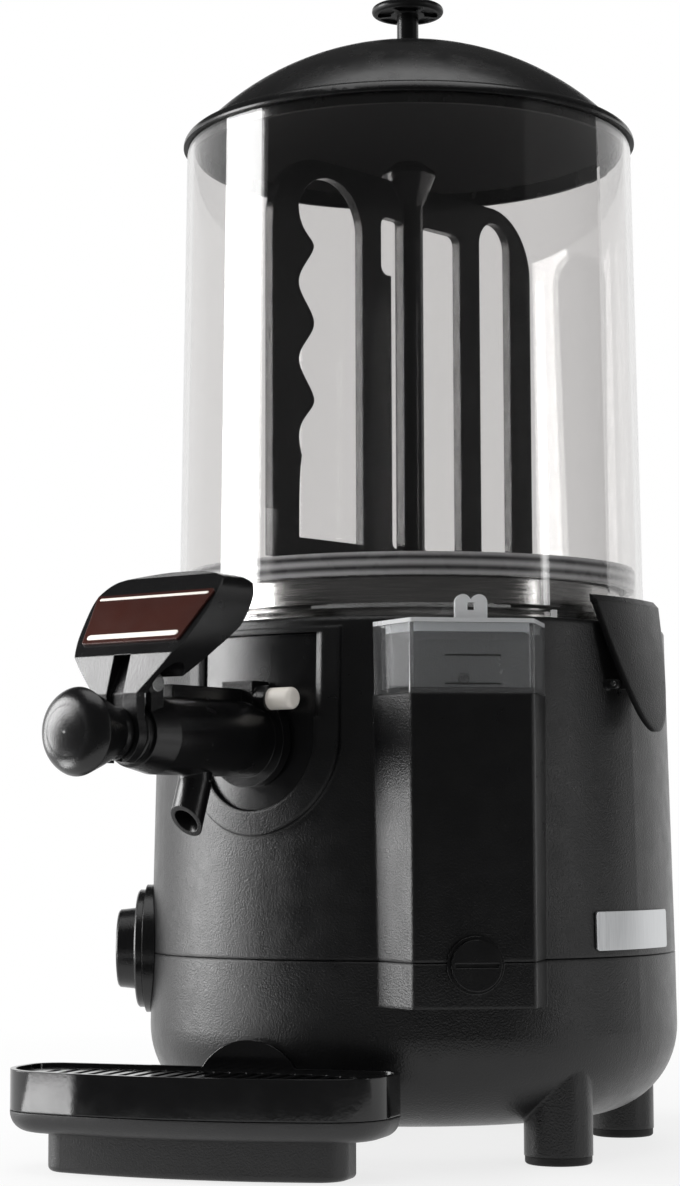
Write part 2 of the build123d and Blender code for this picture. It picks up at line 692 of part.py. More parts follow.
def plate_screws():
    places = [spot(BOSS_RING, angle) for angle in BOSS_ANGLES]
    return screws(PLATE_THICKNESS + SHORT_SCREW_LENGTH, PLATE_Z + PLATE_THICKNESS, places, False)


def side_plate():
    """Bare name plate on the right side."""
    low, high = SIDE_PLATE_Z
    outline = Pos(0, (low + high) / 2) * RectangleRounded(SIDE_PLATE_WIDTH, high - low, SIDE_PLATE_CORNER)
    plate = extrude(Plane.XZ * outline, amount=2 * BODY_RADIUS)
    plate &= casing_skin(HOLE_CLEARANCE, HOLE_CLEARANCE + SIDE_PLATE, PARTING_Z, CASING_TOP_Z)
    return turn_to(SIDE_PLATE_ANGLE, plate)


def level_box():
    """Clear water level box on top of the column, closed towards the casing by its own back wall."""
    box = column_block(0, COLUMN_TOP_Z, BOX_TOP_Z) - casing_core(PANEL_GAP, PARTING_Z, CASING_TOP_Z)
    inside = column_block(BOX_WALL, COLUMN_TOP_Z + BOX_WALL, BOX_TOP_Z)
    box -= inside - casing_core(PANEL_GAP + BOX_WALL, PARTING_Z, CASING_TOP_Z)
    hole = along_y(LEVEL_TUBE_RADIUS, MOUTH_RADIUS, BODY_RADIUS + BOX_WALL, LEVEL_TUBE_Z)
    return box - turn_to(COLUMN_ANGLE, hole)


def level_marks():
    """Two thin lines on the front of the level box, for the lowest and highest water."""
    half = LEVEL_MARK_LENGTH / 2
    return [turn_to(COLUMN_ANGLE, block(-half, half, COLUMN_FRONT, COLUMN_FRONT + LEVEL_MARK / 4,
                                        z - LEVEL_MARK / 2, z + LEVEL_MARK / 2))
            for z in (LEVEL_MIN_Z, LEVEL_MAX_Z)]


def level_cap():
    """Clear cap of the level box, with a lip inside the box and a two-lobed tab to lift it by."""
    top = BOX_TOP_Z + BOX_CAP
    cap = column_block(0, BOX_TOP_Z, top) - casing_core(PANEL_GAP, PARTING_Z, CASING_TOP_Z)
    lip = column_block(BOX_WALL + PANEL_GAP, BOX_TOP_Z - CAP_LIP, BOX_TOP_Z)
    lip -= column_block(2 * BOX_WALL + PANEL_GAP, BOX_TOP_Z - CAP_LIP, BOX_TOP_Z)
    lip -= casing_core(2 * BOX_WALL + PANEL_GAP, PARTING_Z, CASING_TOP_Z)
    lobe = CAP_TAB_WIDTH / 4
    near = COLUMN_FRONT - BOX_WALL - CAP_TAB_THICKNESS
    tab = block(-2 * lobe, 2 * lobe, near, near + CAP_TAB_THICKNESS, top, top + CAP_TAB_HEIGHT - lobe)
    for side in (-1, 1):
        tab += along_y(lobe, near, near + CAP_TAB_THICKNESS, top + CAP_TAB_HEIGHT - lobe, side * lobe)
    hole_z = top + CAP_TAB_HEIGHT / 2
    tab -= block(-CAP_TAB_HOLE / 2, CAP_TAB_HOLE / 2, near, near + CAP_TAB_THICKNESS,
                 hole_z - CAP_TAB_HOLE / 2, hole_z + CAP_TAB_HOLE / 2)
    return cap + lip + turn_to(COLUMN_ANGLE, tab)


def level_tube():
    """Short steel tube between the water jacket and the level box."""
    back = JACKET_RADIUS - STEEL
    front = casing_radius(LEVEL_TUBE_Z) + PANEL_GAP + BOX_WALL
    outer = along_y(LEVEL_TUBE_RADIUS - RUNNING_FIT, back, front, LEVEL_TUBE_Z)
    bore = along_y(LEVEL_TUBE_RADIUS - LEVEL_TUBE_WALL, back, front, LEVEL_TUBE_Z)
    return turn_to(COLUMN_ANGLE, outer - bore)


def drain_pipe():
    """Bent tube from the bottom of the jacket to the plug at the foot of the column."""
    path = FilletPolyline((0, -DRAIN_RING, JACKET_BOTTOM_Z), (0, -DRAIN_RING, DRAIN_Z),
                          (0, -(COLUMN_FRONT - SHELL), DRAIN_Z), radius=DRAIN_BEND)
    start = Plane((0, -DRAIN_RING, JACKET_BOTTOM_Z), z_dir=(0, 0, -1))
    wall = Circle(DRAIN_PIPE_RADIUS) - Circle(DRAIN_PIPE_RADIUS - DRAIN_PIPE_WALL)
    return turn_to(COLUMN_ANGLE, sweep(start * wall, path=path))


def drain_collar():
    """Raised washer round the drain plug, on the column's front face."""
    front = COLUMN_FRONT + DRAIN_COLLAR
    collar = along_y(DRAIN_COLLAR_RADIUS, COLUMN_FRONT, front, DRAIN_Z)
    return turn_to(COLUMN_ANGLE, collar - along_y(PLUG_RADIUS, COLUMN_FRONT, front, DRAIN_Z))


def drain_plug():
    """Plug with a coin slot; its shank closes the drain pipe."""
    seat = COLUMN_FRONT + DRAIN_COLLAR
    plug = along_y(PLUG_RADIUS + DRAIN_COLLAR, seat, seat + PLUG_HEAD, DRAIN_Z)
    shank = DRAIN_PIPE_RADIUS - DRAIN_PIPE_WALL - HOLE_CLEARANCE
    plug += along_y(shank, seat - PLUG_SHANK, seat, DRAIN_Z)
    plug -= block(-PLUG_RADIUS, PLUG_RADIUS, seat + PLUG_HEAD / 2, seat + PLUG_HEAD,
                  DRAIN_Z - PLUG_SLOT / 2, DRAIN_Z + PLUG_SLOT / 2)
    return turn_to(COLUMN_ANGLE, plug)


def steel_vessel():
    """Steel vessel that holds the drink, with a rolled rim and the outlet pipe to the tap."""
    outer = VESSEL_RADIUS + STEEL
    vessel = ring(outer, 0, VESSEL_FLOOR_Z - STEEL, VESSEL_RIM_Z)
    vessel += ring(outer + VESSEL_RIM_WIDTH, VESSEL_RADIUS, VESSEL_RIM_Z - STEEL, VESSEL_RIM_Z)
    vessel += along_y(OUTLET_RADIUS, VESSEL_RADIUS - STEEL, OUTLET_END, TAP_Z)
    vessel -= upright(VESSEL_RADIUS, VESSEL_FLOOR_Z, VESSEL_RIM_Z)
    vessel -= along_y(OUTLET_RADIUS - OUTLET_WALL, VESSEL_RADIUS - 6 * STEEL, OUTLET_END, TAP_Z)
    return vessel - upright(TUBE_RADIUS + RUNNING_FIT, VESSEL_FLOOR_Z - STEEL, VESSEL_FLOOR_Z)


def water_jacket():
    """Outer tank round the vessel, which holds the hot water."""
    jacket = ring(JACKET_RADIUS, 0, JACKET_BOTTOM_Z, JACKET_TOP_Z)
    jacket += ring(JACKET_FLANGE_RADIUS, VESSEL_RADIUS + STEEL, JACKET_TOP_Z - STEEL, JACKET_TOP_Z)
    jacket -= upright(JACKET_RADIUS - STEEL, JACKET_BOTTOM_Z + STEEL, JACKET_TOP_Z - STEEL)
    jacket -= upright(VESSEL_RADIUS + STEEL + RUNNING_FIT, JACKET_TOP_Z - STEEL, JACKET_TOP_Z)
    jacket -= along_y(OUTLET_RADIUS + RUNNING_FIT, MOUTH_RADIUS - 4 * STEEL, MOUTH_RADIUS, TAP_Z)
    level_hole = along_y(LEVEL_TUBE_RADIUS, JACKET_RADIUS - 2 * STEEL, MOUTH_RADIUS, LEVEL_TUBE_Z)
    jacket -= turn_to(COLUMN_ANGLE, level_hole)
    low, high = JACKET_BOTTOM_Z, JACKET_BOTTOM_Z + STEEL
    jacket -= upright(TUBE_RADIUS + RUNNING_FIT, low, high)
    for hole in uprights(HEATER_END_RADIUS + RUNNING_FIT, low, high, HEATER_RING, HEATER_END_ANGLES):
        jacket -= hole
    return jacket - upright(DRAIN_PIPE_RADIUS - DRAIN_PIPE_WALL, low, high, *spot(DRAIN_RING, COLUMN_ANGLE))


def jacket_spacers():
    return uprights(SPACER_RADIUS, PLATE_Z + PLATE_THICKNESS, JACKET_BOTTOM_Z, SPACER_RING, SPACER_ANGLES)


def bowl_seal():
    """Grey rubber seal on the vessel's rim, which the bowl slides over."""
    inner = VESSEL_RADIUS
    outer = bowl_inner_radius(VESSEL_RIM_Z) - PANEL_GAP
    groove = VESSEL_RADIUS + STEEL + VESSEL_RIM_WIDTH + RUNNING_FIT
    return turned([(inner, VESSEL_RIM_Z), (groove, VESSEL_RIM_Z), (groove, VESSEL_RIM_Z - SEAL_SKIRT),
                   (outer - SEAL_TAPER, VESSEL_RIM_Z - SEAL_SKIRT), (outer, VESSEL_RIM_Z),
                   (outer, VESSEL_RIM_Z + SEAL_HEIGHT / 2), (outer - SEAL_EDGE, VESSEL_RIM_Z + SEAL_HEIGHT),
                   (inner, VESSEL_RIM_Z + SEAL_HEIGHT)])


def rim_gasket():
    """Flat gasket between the jacket's flange and the casing's rim."""
    return ring(JACKET_FLANGE_RADIUS, MOUTH_RADIUS, JACKET_TOP_Z, CASING_TOP_Z - SHELL)


def heating_element():
    """Ring heater in the water, with its two ends through the bottom of the jacket."""
    heater = Pos(0, 0, HEATER_Z) * Torus(HEATER_RING, HEATER_RADIUS)
    for end in uprights(HEATER_END_RADIUS, HEATER_END_Z, HEATER_Z, HEATER_RING, HEATER_END_ANGLES):
        heater += end
    return heater


def safety_cutout():
    """Overheat cut-out, held against the underside of the jacket by two ears."""
    x, y = spot(*CUTOUT_PLACE)
    low = JACKET_BOTTOM_Z - CUTOUT_HEIGHT
    ears = Pos(x, y, JACKET_BOTTOM_Z - STEEL / 2) * Box(2 * CUTOUT_EAR, CUTOUT_RADIUS, STEEL)
    return upright(CUTOUT_RADIUS, low, JACKET_BOTTOM_Z, x, y) + ears


def thermostat_bulb():
    """Feeler of the thermostat, clipped under the jacket."""
    z = JACKET_BOTTOM_Z - BULB_RADIUS
    bulb = Pos(0, -BULB_RING, z) * Rot(0, 90, 0) * Cylinder(BULB_RADIUS, BULB_LENGTH)
    return turn_to(DIAL_ANGLE, fillet(bulb.edges(), BULB_RADIUS / 2))


def thermostat():
    """Thermostat body inside the casing, with a neck through its wall and a turning spindle's bush."""
    front = PARTING_RADIUS - 3 * SHELL
    body = along_y(THERMOSTAT_RADIUS, front - THERMOSTAT_DEPTH, front, DIAL_Z)
    body += along_y(THERMOSTAT_NECK_RADIUS, front, DIAL_BASE_FRONT, DIAL_Z)
    bore = along_y(DIAL_SPINDLE_RADIUS + RUNNING_FIT, front - THERMOSTAT_DEPTH / 2, DIAL_BASE_FRONT, DIAL_Z)
    return turn_to(DIAL_ANGLE, body - bore)


def dial_base():
    """Round base plate behind the dial, shaped to the casing at its back."""
    base = along_y(DIAL_BASE_RADIUS, MOUTH_RADIUS, DIAL_BASE_FRONT, DIAL_Z)
    base -= along_y(THERMOSTAT_NECK_RADIUS + RUNNING_FIT, MOUTH_RADIUS, DIAL_BASE_FRONT, DIAL_Z)
    body = BODY_RADIUS + RUNNING_FIT
    base -= turned([
        (0, 0), (body, 0), (body, BASE_BOTTOM_Z + BASE_ROUNDING), (PARTING_RADIUS + RUNNING_FIT, PARTING_Z),
        (CASING_TOP_RADIUS + RUNNING_FIT, CASING_TOP_Z), (0, CASING_TOP_Z),
    ])
    return turn_to(DIAL_ANGLE, base)


def dial_knob():
    """Thermostat dial with a skirt, a plain tapered grip with a pointer notch, and its spindle."""
    back = DIAL_BASE_FRONT + DIAL_GAP
    grip_back = back + DIAL_SKIRT
    grip_front = grip_back + DIAL_GRIP
    slim = DIAL_GRIP_RADIUS - DIAL_GRIP_TAPER
    dial = turned([(0, back), (DIAL_SKIRT_RADIUS, back), (DIAL_SKIRT_RADIUS, grip_back - DIAL_EDGE),
                   (DIAL_SKIRT_RADIUS - DIAL_EDGE, grip_back), (DIAL_GRIP_RADIUS, grip_back),
                   (slim, grip_front - DIAL_EDGE), (slim - DIAL_EDGE, grip_front), (0, grip_front)])
    dial = Pos(0, 0, DIAL_Z) * Rot(90, 0, 0) * dial
    dial -= block(-DIAL_POINTER / 2, DIAL_POINTER / 2, grip_front - DIAL_POINTER / 2, grip_front,
                  DIAL_Z + slim / 2, DIAL_Z + DIAL_GRIP_RADIUS)
    return turn_to(DIAL_ANGLE, dial + along_y(DIAL_SPINDLE_RADIUS, PARTING_RADIUS - 4 * SHELL, back, DIAL_Z))


def support_plate():
    """Steel plate across the casing that carries the boiler and the gear motor."""
    low, high = PLATE_Z, PLATE_Z + PLATE_THICKNESS
    plate = upright(PLATE_RADIUS, low, high) - upright(TUBE_RADIUS + 2 * HOLE_CLEARANCE, low, high)
    for hole in uprights(SCREW_RADIUS + HOLE_CLEARANCE, low, high, BOSS_RING, BOSS_ANGLES):
        plate -= hole
    for hole in uprights(HEATER_END_RADIUS + STEEL, low, high, HEATER_RING, HEATER_END_ANGLES):
        plate -= hole
    for x, y in gearbox_screw_places():
        plate -= upright(SCREW_RADIUS + HOLE_CLEARANCE, low, high, x, y)
    return plate - upright(DRAIN_PIPE_RADIUS + STEEL, low, high, *spot(DRAIN_RING, COLUMN_ANGLE))


def gearbox_screw_places():
    half = GEARBOX_SCREW_PITCH / 2
    return [(x, y) for x in (-half, half) for y in (-half, half)]


def gearbox():
    """Gearbox under the support plate; the shaft leaves it upwards."""
    half = GEARBOX_SIZE / 2
    low = PLATE_Z - GEARBOX_HEIGHT
    case = block(-half, half, -half, half, low, PLATE_Z)
    case = fillet(case.edges().filter_by(Axis.Z), BOSS_RADIUS)
    for x, y in gearbox_screw_places():
        case -= upright(SCREW_RADIUS, PLATE_Z - SHORT_SCREW_LENGTH, PLATE_Z, x, y)
    return case - upright(SHAFT_RADIUS + RUNNING_FIT, SHAFT_BOTTOM_Z - SHELL, PLATE_Z)


def gearbox_screws():
    length = PLATE_THICKNESS + SHORT_SCREW_LENGTH
    return screws(length, PLATE_Z + PLATE_THICKNESS, gearbox_screw_places(), False)


def motor():
    """Motor can under the gearbox."""
    top = PLATE_Z - GEARBOX_HEIGHT
    can = upright(MOTOR_RADIUS, top - MOTOR_HEIGHT, top, MOTOR_OFFSET, 0)
    return fillet(can.edges().sort_by(Axis.Z)[0], SHELL)


def drive_shaft():
    return upright(SHAFT_RADIUS, SHAFT_BOTTOM_Z, SHAFT_TOP_Z) - drive_pin_bar(RUNNING_FIT)


def drive_pin_bar(fit):
    length = DRIVE_PIN_LENGTH + 2 * fit
    bar = Pos(0, 0, DRIVE_PIN_Z) * Rot(0, 90, 0) * Cylinder(DRIVE_PIN_RADIUS + fit, length)
    return turn_to(STIRRER_TURN, bar)


def drive_pin():
    return drive_pin_bar(0)


def shaft_tube():
    """Steel tube that leads the shaft up through the water and the drink."""
    bottom = PLATE_Z + PLATE_THICKNESS
    return ring(TUBE_RADIUS, TUBE_RADIUS - TUBE_WALL, bottom, TUBE_TOP_Z)


def shaft_bushes():
    inner, outer = SHAFT_RADIUS + RUNNING_FIT, TUBE_RADIUS - TUBE_WALL - RUNNING_FIT / 2
    bottom = PLATE_Z + PLATE_THICKNESS
    lower = ring(outer, inner, bottom, bottom + BUSH_LENGTH)
    upper = ring(outer, inner, TUBE_TOP_Z - BUSH_LENGTH, TUBE_TOP_Z)
    return [lower, upper]


def radial_panel(face, thickness, angle):
    """Upright panel in a plane through the axis, from an outline of radii and heights."""
    panel = extrude(Plane.XZ * face, amount=thickness / 2, both=True)
    return Rot(0, 0, angle - 90) * panel


def window_face(left, right, top, bottom):
    """Frame window with rounded corners."""
    window = Pos((left + right) / 2, (top + bottom) / 2) * Rectangle(right - left, top - bottom)
    return fillet(window.vertices(), min(WINDOW_CORNER, (right - left) / 3))


def arched_window(left, right):
    """Frame window with an arched top."""
    bottom = FRAME_BOTTOM_Z + FRAME_BAR
    spring = ARCH_Z - (right - left) / 2
    middle = (left + right) / 2
    arch = Pos(middle, spring) * Circle((right - left) / 2)
    shoulders = Pos(middle, spring - WINDOW_CORNER) * Rectangle(right - left, 2 * WINDOW_CORNER)
    return arch + window_face(left, right, spring, bottom) + shoulders


def frame_blank(radius):
    """Outline of a stirrer frame before its windows are cut."""
    height = FRAME_TOP_Z - FRAME_BOTTOM_Z
    blank = Pos(radius / 2, FRAME_BOTTOM_Z + height / 2) * Rectangle(radius, height)
    outer_top = blank.vertices().sort_by(Axis.X)[-2:].sort_by(Axis.Y)[-1]
    return fillet(outer_top, FRAME_CORNER)


def wavy_window():
    """Window of the wavy frame: its outer side is a wave with round crests."""
    left = WAVY_LEG_INNER[0]
    bottom = FRAME_BOTTOM_Z + FRAME_BAR
    step = (WAVE_TOP_Z - bottom - WAVE_FOOT) / (2 * WAVE_COUNT)
    crests = [(WAVE_PEAK if n % 2 else WAVE_VALLEY, WAVE_TOP_Z - step * n) for n in range(2 * WAVE_COUNT + 1)]
    arch_mid = ((left + WAVE_VALLEY) / 2, ARCH_Z)
    return make_face([
        Line((left, bottom), (left, WAVE_TOP_Z - WINDOW_CORNER)),
        ThreePointArc((left, WAVE_TOP_Z - WINDOW_CORNER), arch_mid, crests[0]),
        Spline(crests, tangents=[(0, -1), (0, -1)]),
        Line(crests[-1], (WAVE_VALLEY, bottom)),
        Line((WAVE_VALLEY, bottom), (left, bottom)),
    ])


def stirrer():
    """Stirrer: a sleeve and hub, a wavy frame, a plain frame behind it and a scraper down in the vessel."""
    hub_bottom = HUB_TOP_Z - HUB_HEIGHT
    body = ring(SLEEVE_RADIUS, 0, STIRRER_BOTTOM_Z, hub_bottom)
    body += turned([(0, hub_bottom), (SLEEVE_RADIUS, hub_bottom), (HUB_RADIUS, HUB_TOP_Z - HUB_RADIUS / 2),
                    (HUB_RADIUS, HUB_TOP_Z - WINDOW_CORNER), (SLEEVE_RADIUS, HUB_TOP_Z), (0, HUB_TOP_Z)])
    bottom = FRAME_BOTTOM_Z + FRAME_BAR
    top = FRAME_TOP_Z - 2 * FRAME_BAR
    _, leg_wide, leg_narrow = WAVY_LEG_INNER
    wavy = frame_blank(WAVY_FRAME_RADIUS) - wavy_window()
    wavy -= window_face(SLEEVE_RADIUS, leg_narrow, top, bottom)
    wavy -= window_face(SLEEVE_RADIUS, leg_wide, top, FRAME_TOP_Z - WAVY_LEG_STEP)
    plain = frame_blank(PLAIN_FRAME_RADIUS) - arched_window(*PLAIN_LEGS[1:])
    plain -= window_face(SLEEVE_RADIUS, PLAIN_LEGS[0], top, bottom)
    body += radial_panel(wavy, FRAME_THICKNESS, STIRRER_TURN)
    body += radial_panel(plain, FRAME_THICKNESS, STIRRER_TURN + 180)
    for side in (90, -90):
        middle = Pos(SCRAPER_RADIUS / 2, STIRRER_BOTTOM_Z + SCRAPER_HEIGHT / 2)
        scraper = middle * Rectangle(SCRAPER_RADIUS, SCRAPER_HEIGHT)
        scraper = fillet(scraper.vertices().sort_by(Axis.X)[-2:], SCRAPER_HEIGHT / 3)
        body += radial_panel(scraper, SCRAPER_THICKNESS, STIRRER_TURN + side)
    body -= upright(SLEEVE_BORE, STIRRER_BOTTOM_Z, TUBE_TOP_Z + HUB_TUBE_GAP)
    body -= upright(SHAFT_RADIUS + RUNNING_FIT, TUBE_TOP_Z, SHAFT_TOP_Z + RUNNING_FIT)
    return body - drive_pin_bar(RUNNING_FIT)


def bowl_outer_radius(z):
    share = (z - CASING_TOP_Z) / (BOWL_TOP_Z - CASING_TOP_Z)
    return BOWL_BOTTOM_RADIUS + (BOWL_TOP_RADIUS - BOWL_BOTTOM_RADIUS) * share


def bowl_inner_radius(z):
    return bowl_outer_radius(z) - BOWL_WALL


def bowl():
    """Clear cylinder, open at both ends, with a flange that stands on the casing."""
    low, high = CASING_TOP_Z, BOWL_TOP_Z
    flange = low + BOWL_FLANGE
    return turned([
        (bowl_inner_radius(low), low), (BOWL_FLANGE_RADIUS, low),
        (BOWL_FLANGE_RADIUS, flange - BOWL_FLANGE_EDGE),
        (BOWL_FLANGE_RADIUS - BOWL_FLANGE_EDGE, flange), (bowl_outer_radius(flange) + BOWL_ROOT, flange),
        (bowl_outer_radius(flange + BOWL_ROOT), flange + BOWL_ROOT), (bowl_outer_radius(high), high),
        (bowl_inner_radius(high), high),
    ])


def lid_edge():
    """Radius and height of the ring where the lid's dome meets its rolled edge."""
    return LID_RADIUS - LID_EDGE, BOWL_TOP_Z + LID_EDGE_RISE


def lid_dome_radius():
    """Radius of the lid's round dome, from its width and rise."""
    edge, _ = lid_edge()
    return (edge ** 2 + LID_DOME_RISE ** 2) / (2 * LID_DOME_RISE)


def lid_z(radius, depth=0.0):
    """Height of the lid's dome at a distance from the axis, or of a face that lies deeper by the depth."""
    edge_z = lid_edge()[1]
    centre = edge_z + LID_DOME_RISE - lid_dome_radius()
    return centre + math.sqrt((lid_dome_radius() - depth) ** 2 - radius ** 2)


def lid():
    """Domed lid with a rolled edge and a skirt inside the bowl."""
    edge, edge_z = lid_edge()
    foot_z = BOWL_TOP_Z + LID_EDGE_FOOT
    skirt_z = BOWL_TOP_Z - LID_SKIRT
    skirt_out = bowl_inner_radius(BOWL_TOP_Z) - LID_FIT
    skirt_in = skirt_out - LID_SKIRT_WALL
    crown, under = lid_z(0), lid_z(0, LID_THICKNESS)
    mid = edge / 2
    inner_edge = (skirt_in, lid_z(skirt_in, LID_THICKNESS))
    roll = (edge + LID_EDGE * math.sqrt(0.5), foot_z + (edge_z - foot_z) * math.sqrt(0.5))
    outline = [
        Line((0, under), (0, crown)),
        ThreePointArc((0, crown), (mid, lid_z(mid)), (edge, edge_z)),
        ThreePointArc((edge, edge_z), roll, (LID_RADIUS, foot_z)),
        Polyline(
            (LID_RADIUS, foot_z), (LID_RADIUS, BOWL_TOP_Z), (skirt_out, BOWL_TOP_Z), (skirt_out, skirt_z),
            (skirt_in, skirt_z), inner_edge,
        ),
        ThreePointArc(inner_edge, (mid, lid_z(mid, LID_THICKNESS)), (0, under)),
    ]
    dome = revolve(Plane.XZ * make_face(outline), Axis.Z)
    return dome - upright(SCREW_RADIUS + HOLE_CLEARANCE, under - SHELL, crown + SHELL)


def knob_foot():
    """Thin foot of the lid knob, shaped to the lid's dome at its underside."""
    half = KNOB_FOOT_RADIUS / 2
    foot_z = lid_z(KNOB_FOOT_RADIUS)
    top_z = lid_z(0) + KNOB_FOOT
    return revolve(Plane.XZ * make_face([
        ThreePointArc((0, lid_z(0)), (half, lid_z(half)), (KNOB_FOOT_RADIUS, foot_z)),
        Polyline((KNOB_FOOT_RADIUS, foot_z), (KNOB_FOOT_RADIUS, foot_z + KNOB_FOOT / 2),
                 (KNOB_FOOT_RADIUS - KNOB_FOOT, top_z), (0, top_z), (0, lid_z(0))),
    ]), Axis.Z)


def lid_knob():
    """Lifting knob: a thin round disc, ribbed below, on a stem with a flat foot."""
    crown = lid_z(0)
    top = crown + KNOB_RISE
    low = top - KNOB_THICKNESS
    disc = upright(KNOB_RADIUS, low, top)
    disc = fillet(disc.edges(), KNOB_EDGE)
    stem_edge = KNOB_STEM_RADIUS + KNOB_RIM
    dish = ring(KNOB_RADIUS - KNOB_RIM, stem_edge, low, low + KNOB_DISH)
    rib = block(-KNOB_RIB / 2, KNOB_RIB / 2, 0, KNOB_RADIUS, low, low + KNOB_DISH)
    for n in range(KNOB_RIBS):
        dish -= turn_to(360 / KNOB_RIBS * n, rib)
    knob = disc - dish + upright(KNOB_STEM_RADIUS, crown + KNOB_FOOT, low + KNOB_DISH) + knob_foot()
    return knob - upright(SCREW_RADIUS, crown - SHELL, crown + LID_SCREW_LENGTH)


def lid_screw():
    under = lid_z(SCREW_HEAD_RADIUS, LID_THICKNESS)
    return screws(LID_SCREW_LENGTH, under, [(0, 0)], True)[0]


def clip_outline():
    """Front view of a clip: a flat top and sides that draw in along a parabola to a round tip."""
    height = CLIP_TOP_Z - CLIP_TIP_Z
    right = [(CLIP_HALF_WIDTH * math.sqrt(share), CLIP_TIP_Z + height * share) for share in CLIP_STEPS]
    left = [(-x, z) for x, z in reversed(right)]
    return make_face([
        Spline(right + [(0, CLIP_TIP_Z)] + left),
        Line(left[-1], right[0]),
    ])


def bowl_clip(angle):
    """Clip that rocks on its pin: a leaning shield with a lip at the bowl's flange and a knuckle behind."""
    top, tip = CLIP_TOP_Z, CLIP_TIP_Z
    face_top = CASING_TOP_RADIUS + CLIP_STANDOFF
    face_tip = face_top + CLIP_LEAN
    lip = BOWL_FLANGE_RADIUS + CLIP_LIP_GAP
    wall = turned([
        (lip, top - CLIP_LIP), (lip, top - CLIP_LIP_EDGE), (lip + CLIP_LIP_EDGE, top),
        (face_top - CLIP_EDGE, top), (face_top, top - CLIP_EDGE), (face_tip, tip),
        (face_tip - CLIP_WALL, tip), (face_top - CLIP_WALL, top - CLIP_LIP),
    ])
    shield = extrude(Plane.XZ * clip_outline(), amount=2 * face_tip) & wall
    shield -= block(-CLIP_HALF_WIDTH, CLIP_HALF_WIDTH, 0, lip, top - CLIP_LIP, top)
    half = CLIP_KNUCKLE_WIDTH / 2
    pivot = clip_pivot()
    bridge = face_top + CLIP_LEAN * (top - CLIP_PIVOT_Z) / (top - tip) - CLIP_WALL / 2
    shield += along_x(CLIP_KNUCKLE_RADIUS, -half, half, pivot, CLIP_PIVOT_Z)
    knuckle_low, knuckle_high = CLIP_PIVOT_Z - CLIP_KNUCKLE_RADIUS, CLIP_PIVOT_Z + CLIP_KNUCKLE_RADIUS
    shield += block(-half, half, pivot, bridge, knuckle_low, knuckle_high)
    shield -= along_x(CLIP_PIN_RADIUS + RUNNING_FIT, -CLIP_HALF_WIDTH, CLIP_HALF_WIDTH, pivot, CLIP_PIVOT_Z)
    return turn_to(angle, shield)


def clip_pins():
    half = CLIP_KNUCKLE_WIDTH / 2 + CLIP_GAP + CLIP_EAR + PIN_PROUD
    pin = along_x(CLIP_PIN_RADIUS, -half, half, clip_pivot(), CLIP_PIVOT_Z)
    return [turn_to(angle, pin) for angle in (90, -90)]


def spout_bar(radius, near_z, far_z):
    """Round bar along the spout, upright down to its bend and leaning forward below it."""
    bend_z = TAP_Z - SPOUT_BEND
    lean = Pos(0, -SPOUT_PLACE, bend_z) * Rot(-SPOUT_LEAN, 0, 0)
    return upright(radius, bend_z, near_z, 0, -SPOUT_PLACE) + lean * upright(radius, far_z - bend_z, 0)


def spout_mouth():
    """Wedge that cuts the spout's mouth at a slant, so that it opens forward."""
    tip_z = TAP_Z - SPOUT_DROP
    reach = SPOUT_DROP * math.tan(math.radians(SPOUT_LEAN)) / 2
    back, front = SPOUT_PLACE + reach - SPOUT_RADIUS, SPOUT_PLACE + reach + SPOUT_RADIUS
    slope = SPOUT_LIP / (front - back)
    wide = 2 * SPOUT_RADIUS
    low = tip_z - wide * slope
    wedge = make_face(Polyline((-front - wide, tip_z + SPOUT_LIP + wide * slope), (-back + wide, low),
                               (-back + wide, low - wide), (-front - wide, low - wide), close=True))
    return extrude(Plane.YZ * wedge, amount=wide, both=True)


def tap_barrel():
    """Tap body: barrel with a tapered nose, flange, lug, rib, lever ears and spout in one moulding."""
    body = turned_forward([(0, BARREL_BACK), (BARREL_RADIUS, BARREL_BACK), (BARREL_RADIUS, BARREL_NOSE),
                           (BARREL_NOSE_RADIUS, BARREL_FRONT), (0, BARREL_FRONT)])
    body += along_y(FLANGE_RADIUS, FLANGE_BACK, FLANGE_BACK + FLANGE, TAP_Z)
    rib_z = TAP_Z + BARREL_RADIUS + RIB_RISE
    body += block(-RIB_WIDTH / 2, RIB_WIDTH / 2, FLANGE_BACK, RIB_END, TAP_Z, rib_z)
    body += block(-LUG_WIDTH / 2, LUG_WIDTH / 2, LUG_BACK, LUG_FRONT, TAP_Z, TAP_Z + LUG_RISE)
    body += along_x(LUG_COLLAR_RADIUS, 0, LUG_COLLAR_END, *LOCK_PIN_PLACE)
    ear_in = HUB_HALF_WIDTH + HUB_CLEARANCE
    for side in (-1, 1):
        low, high = sorted((side * ear_in, side * (ear_in + EAR_THICKNESS)))
        body += along_x(EAR_RADIUS, low, high, PIVOT_Y, PIVOT_Z)
        ear_front = min(PIVOT_Y + EAR_RADIUS, BARREL_FRONT)
        body += block(low, high, PIVOT_Y - EAR_RADIUS, ear_front, TAP_Z, PIVOT_Z)
    tip_z = TAP_Z - SPOUT_DROP - SPOUT_RADIUS
    body += spout_bar(SPOUT_RADIUS, TAP_Z, tip_z) - spout_mouth()
    body -= spout_bar(SPOUT_BORE, TAP_Z, tip_z - SPOUT_RADIUS)
    body -= along_y(BARREL_BORE, BARREL_BACK, BARREL_FRONT, TAP_Z)
    body -= along_y(SOCKET_RADIUS, BARREL_BACK, SOCKET_END, TAP_Z)
    body -= along_x(LOCK_PIN_RADIUS, -LUG_WIDTH, LUG_WIDTH, *LOCK_PIN_PLACE)
    return body - along_x(PIVOT_PIN_RADIUS, -PIVOT_PIN_LENGTH, PIVOT_PIN_LENGTH, PIVOT_Y, PIVOT_Z)


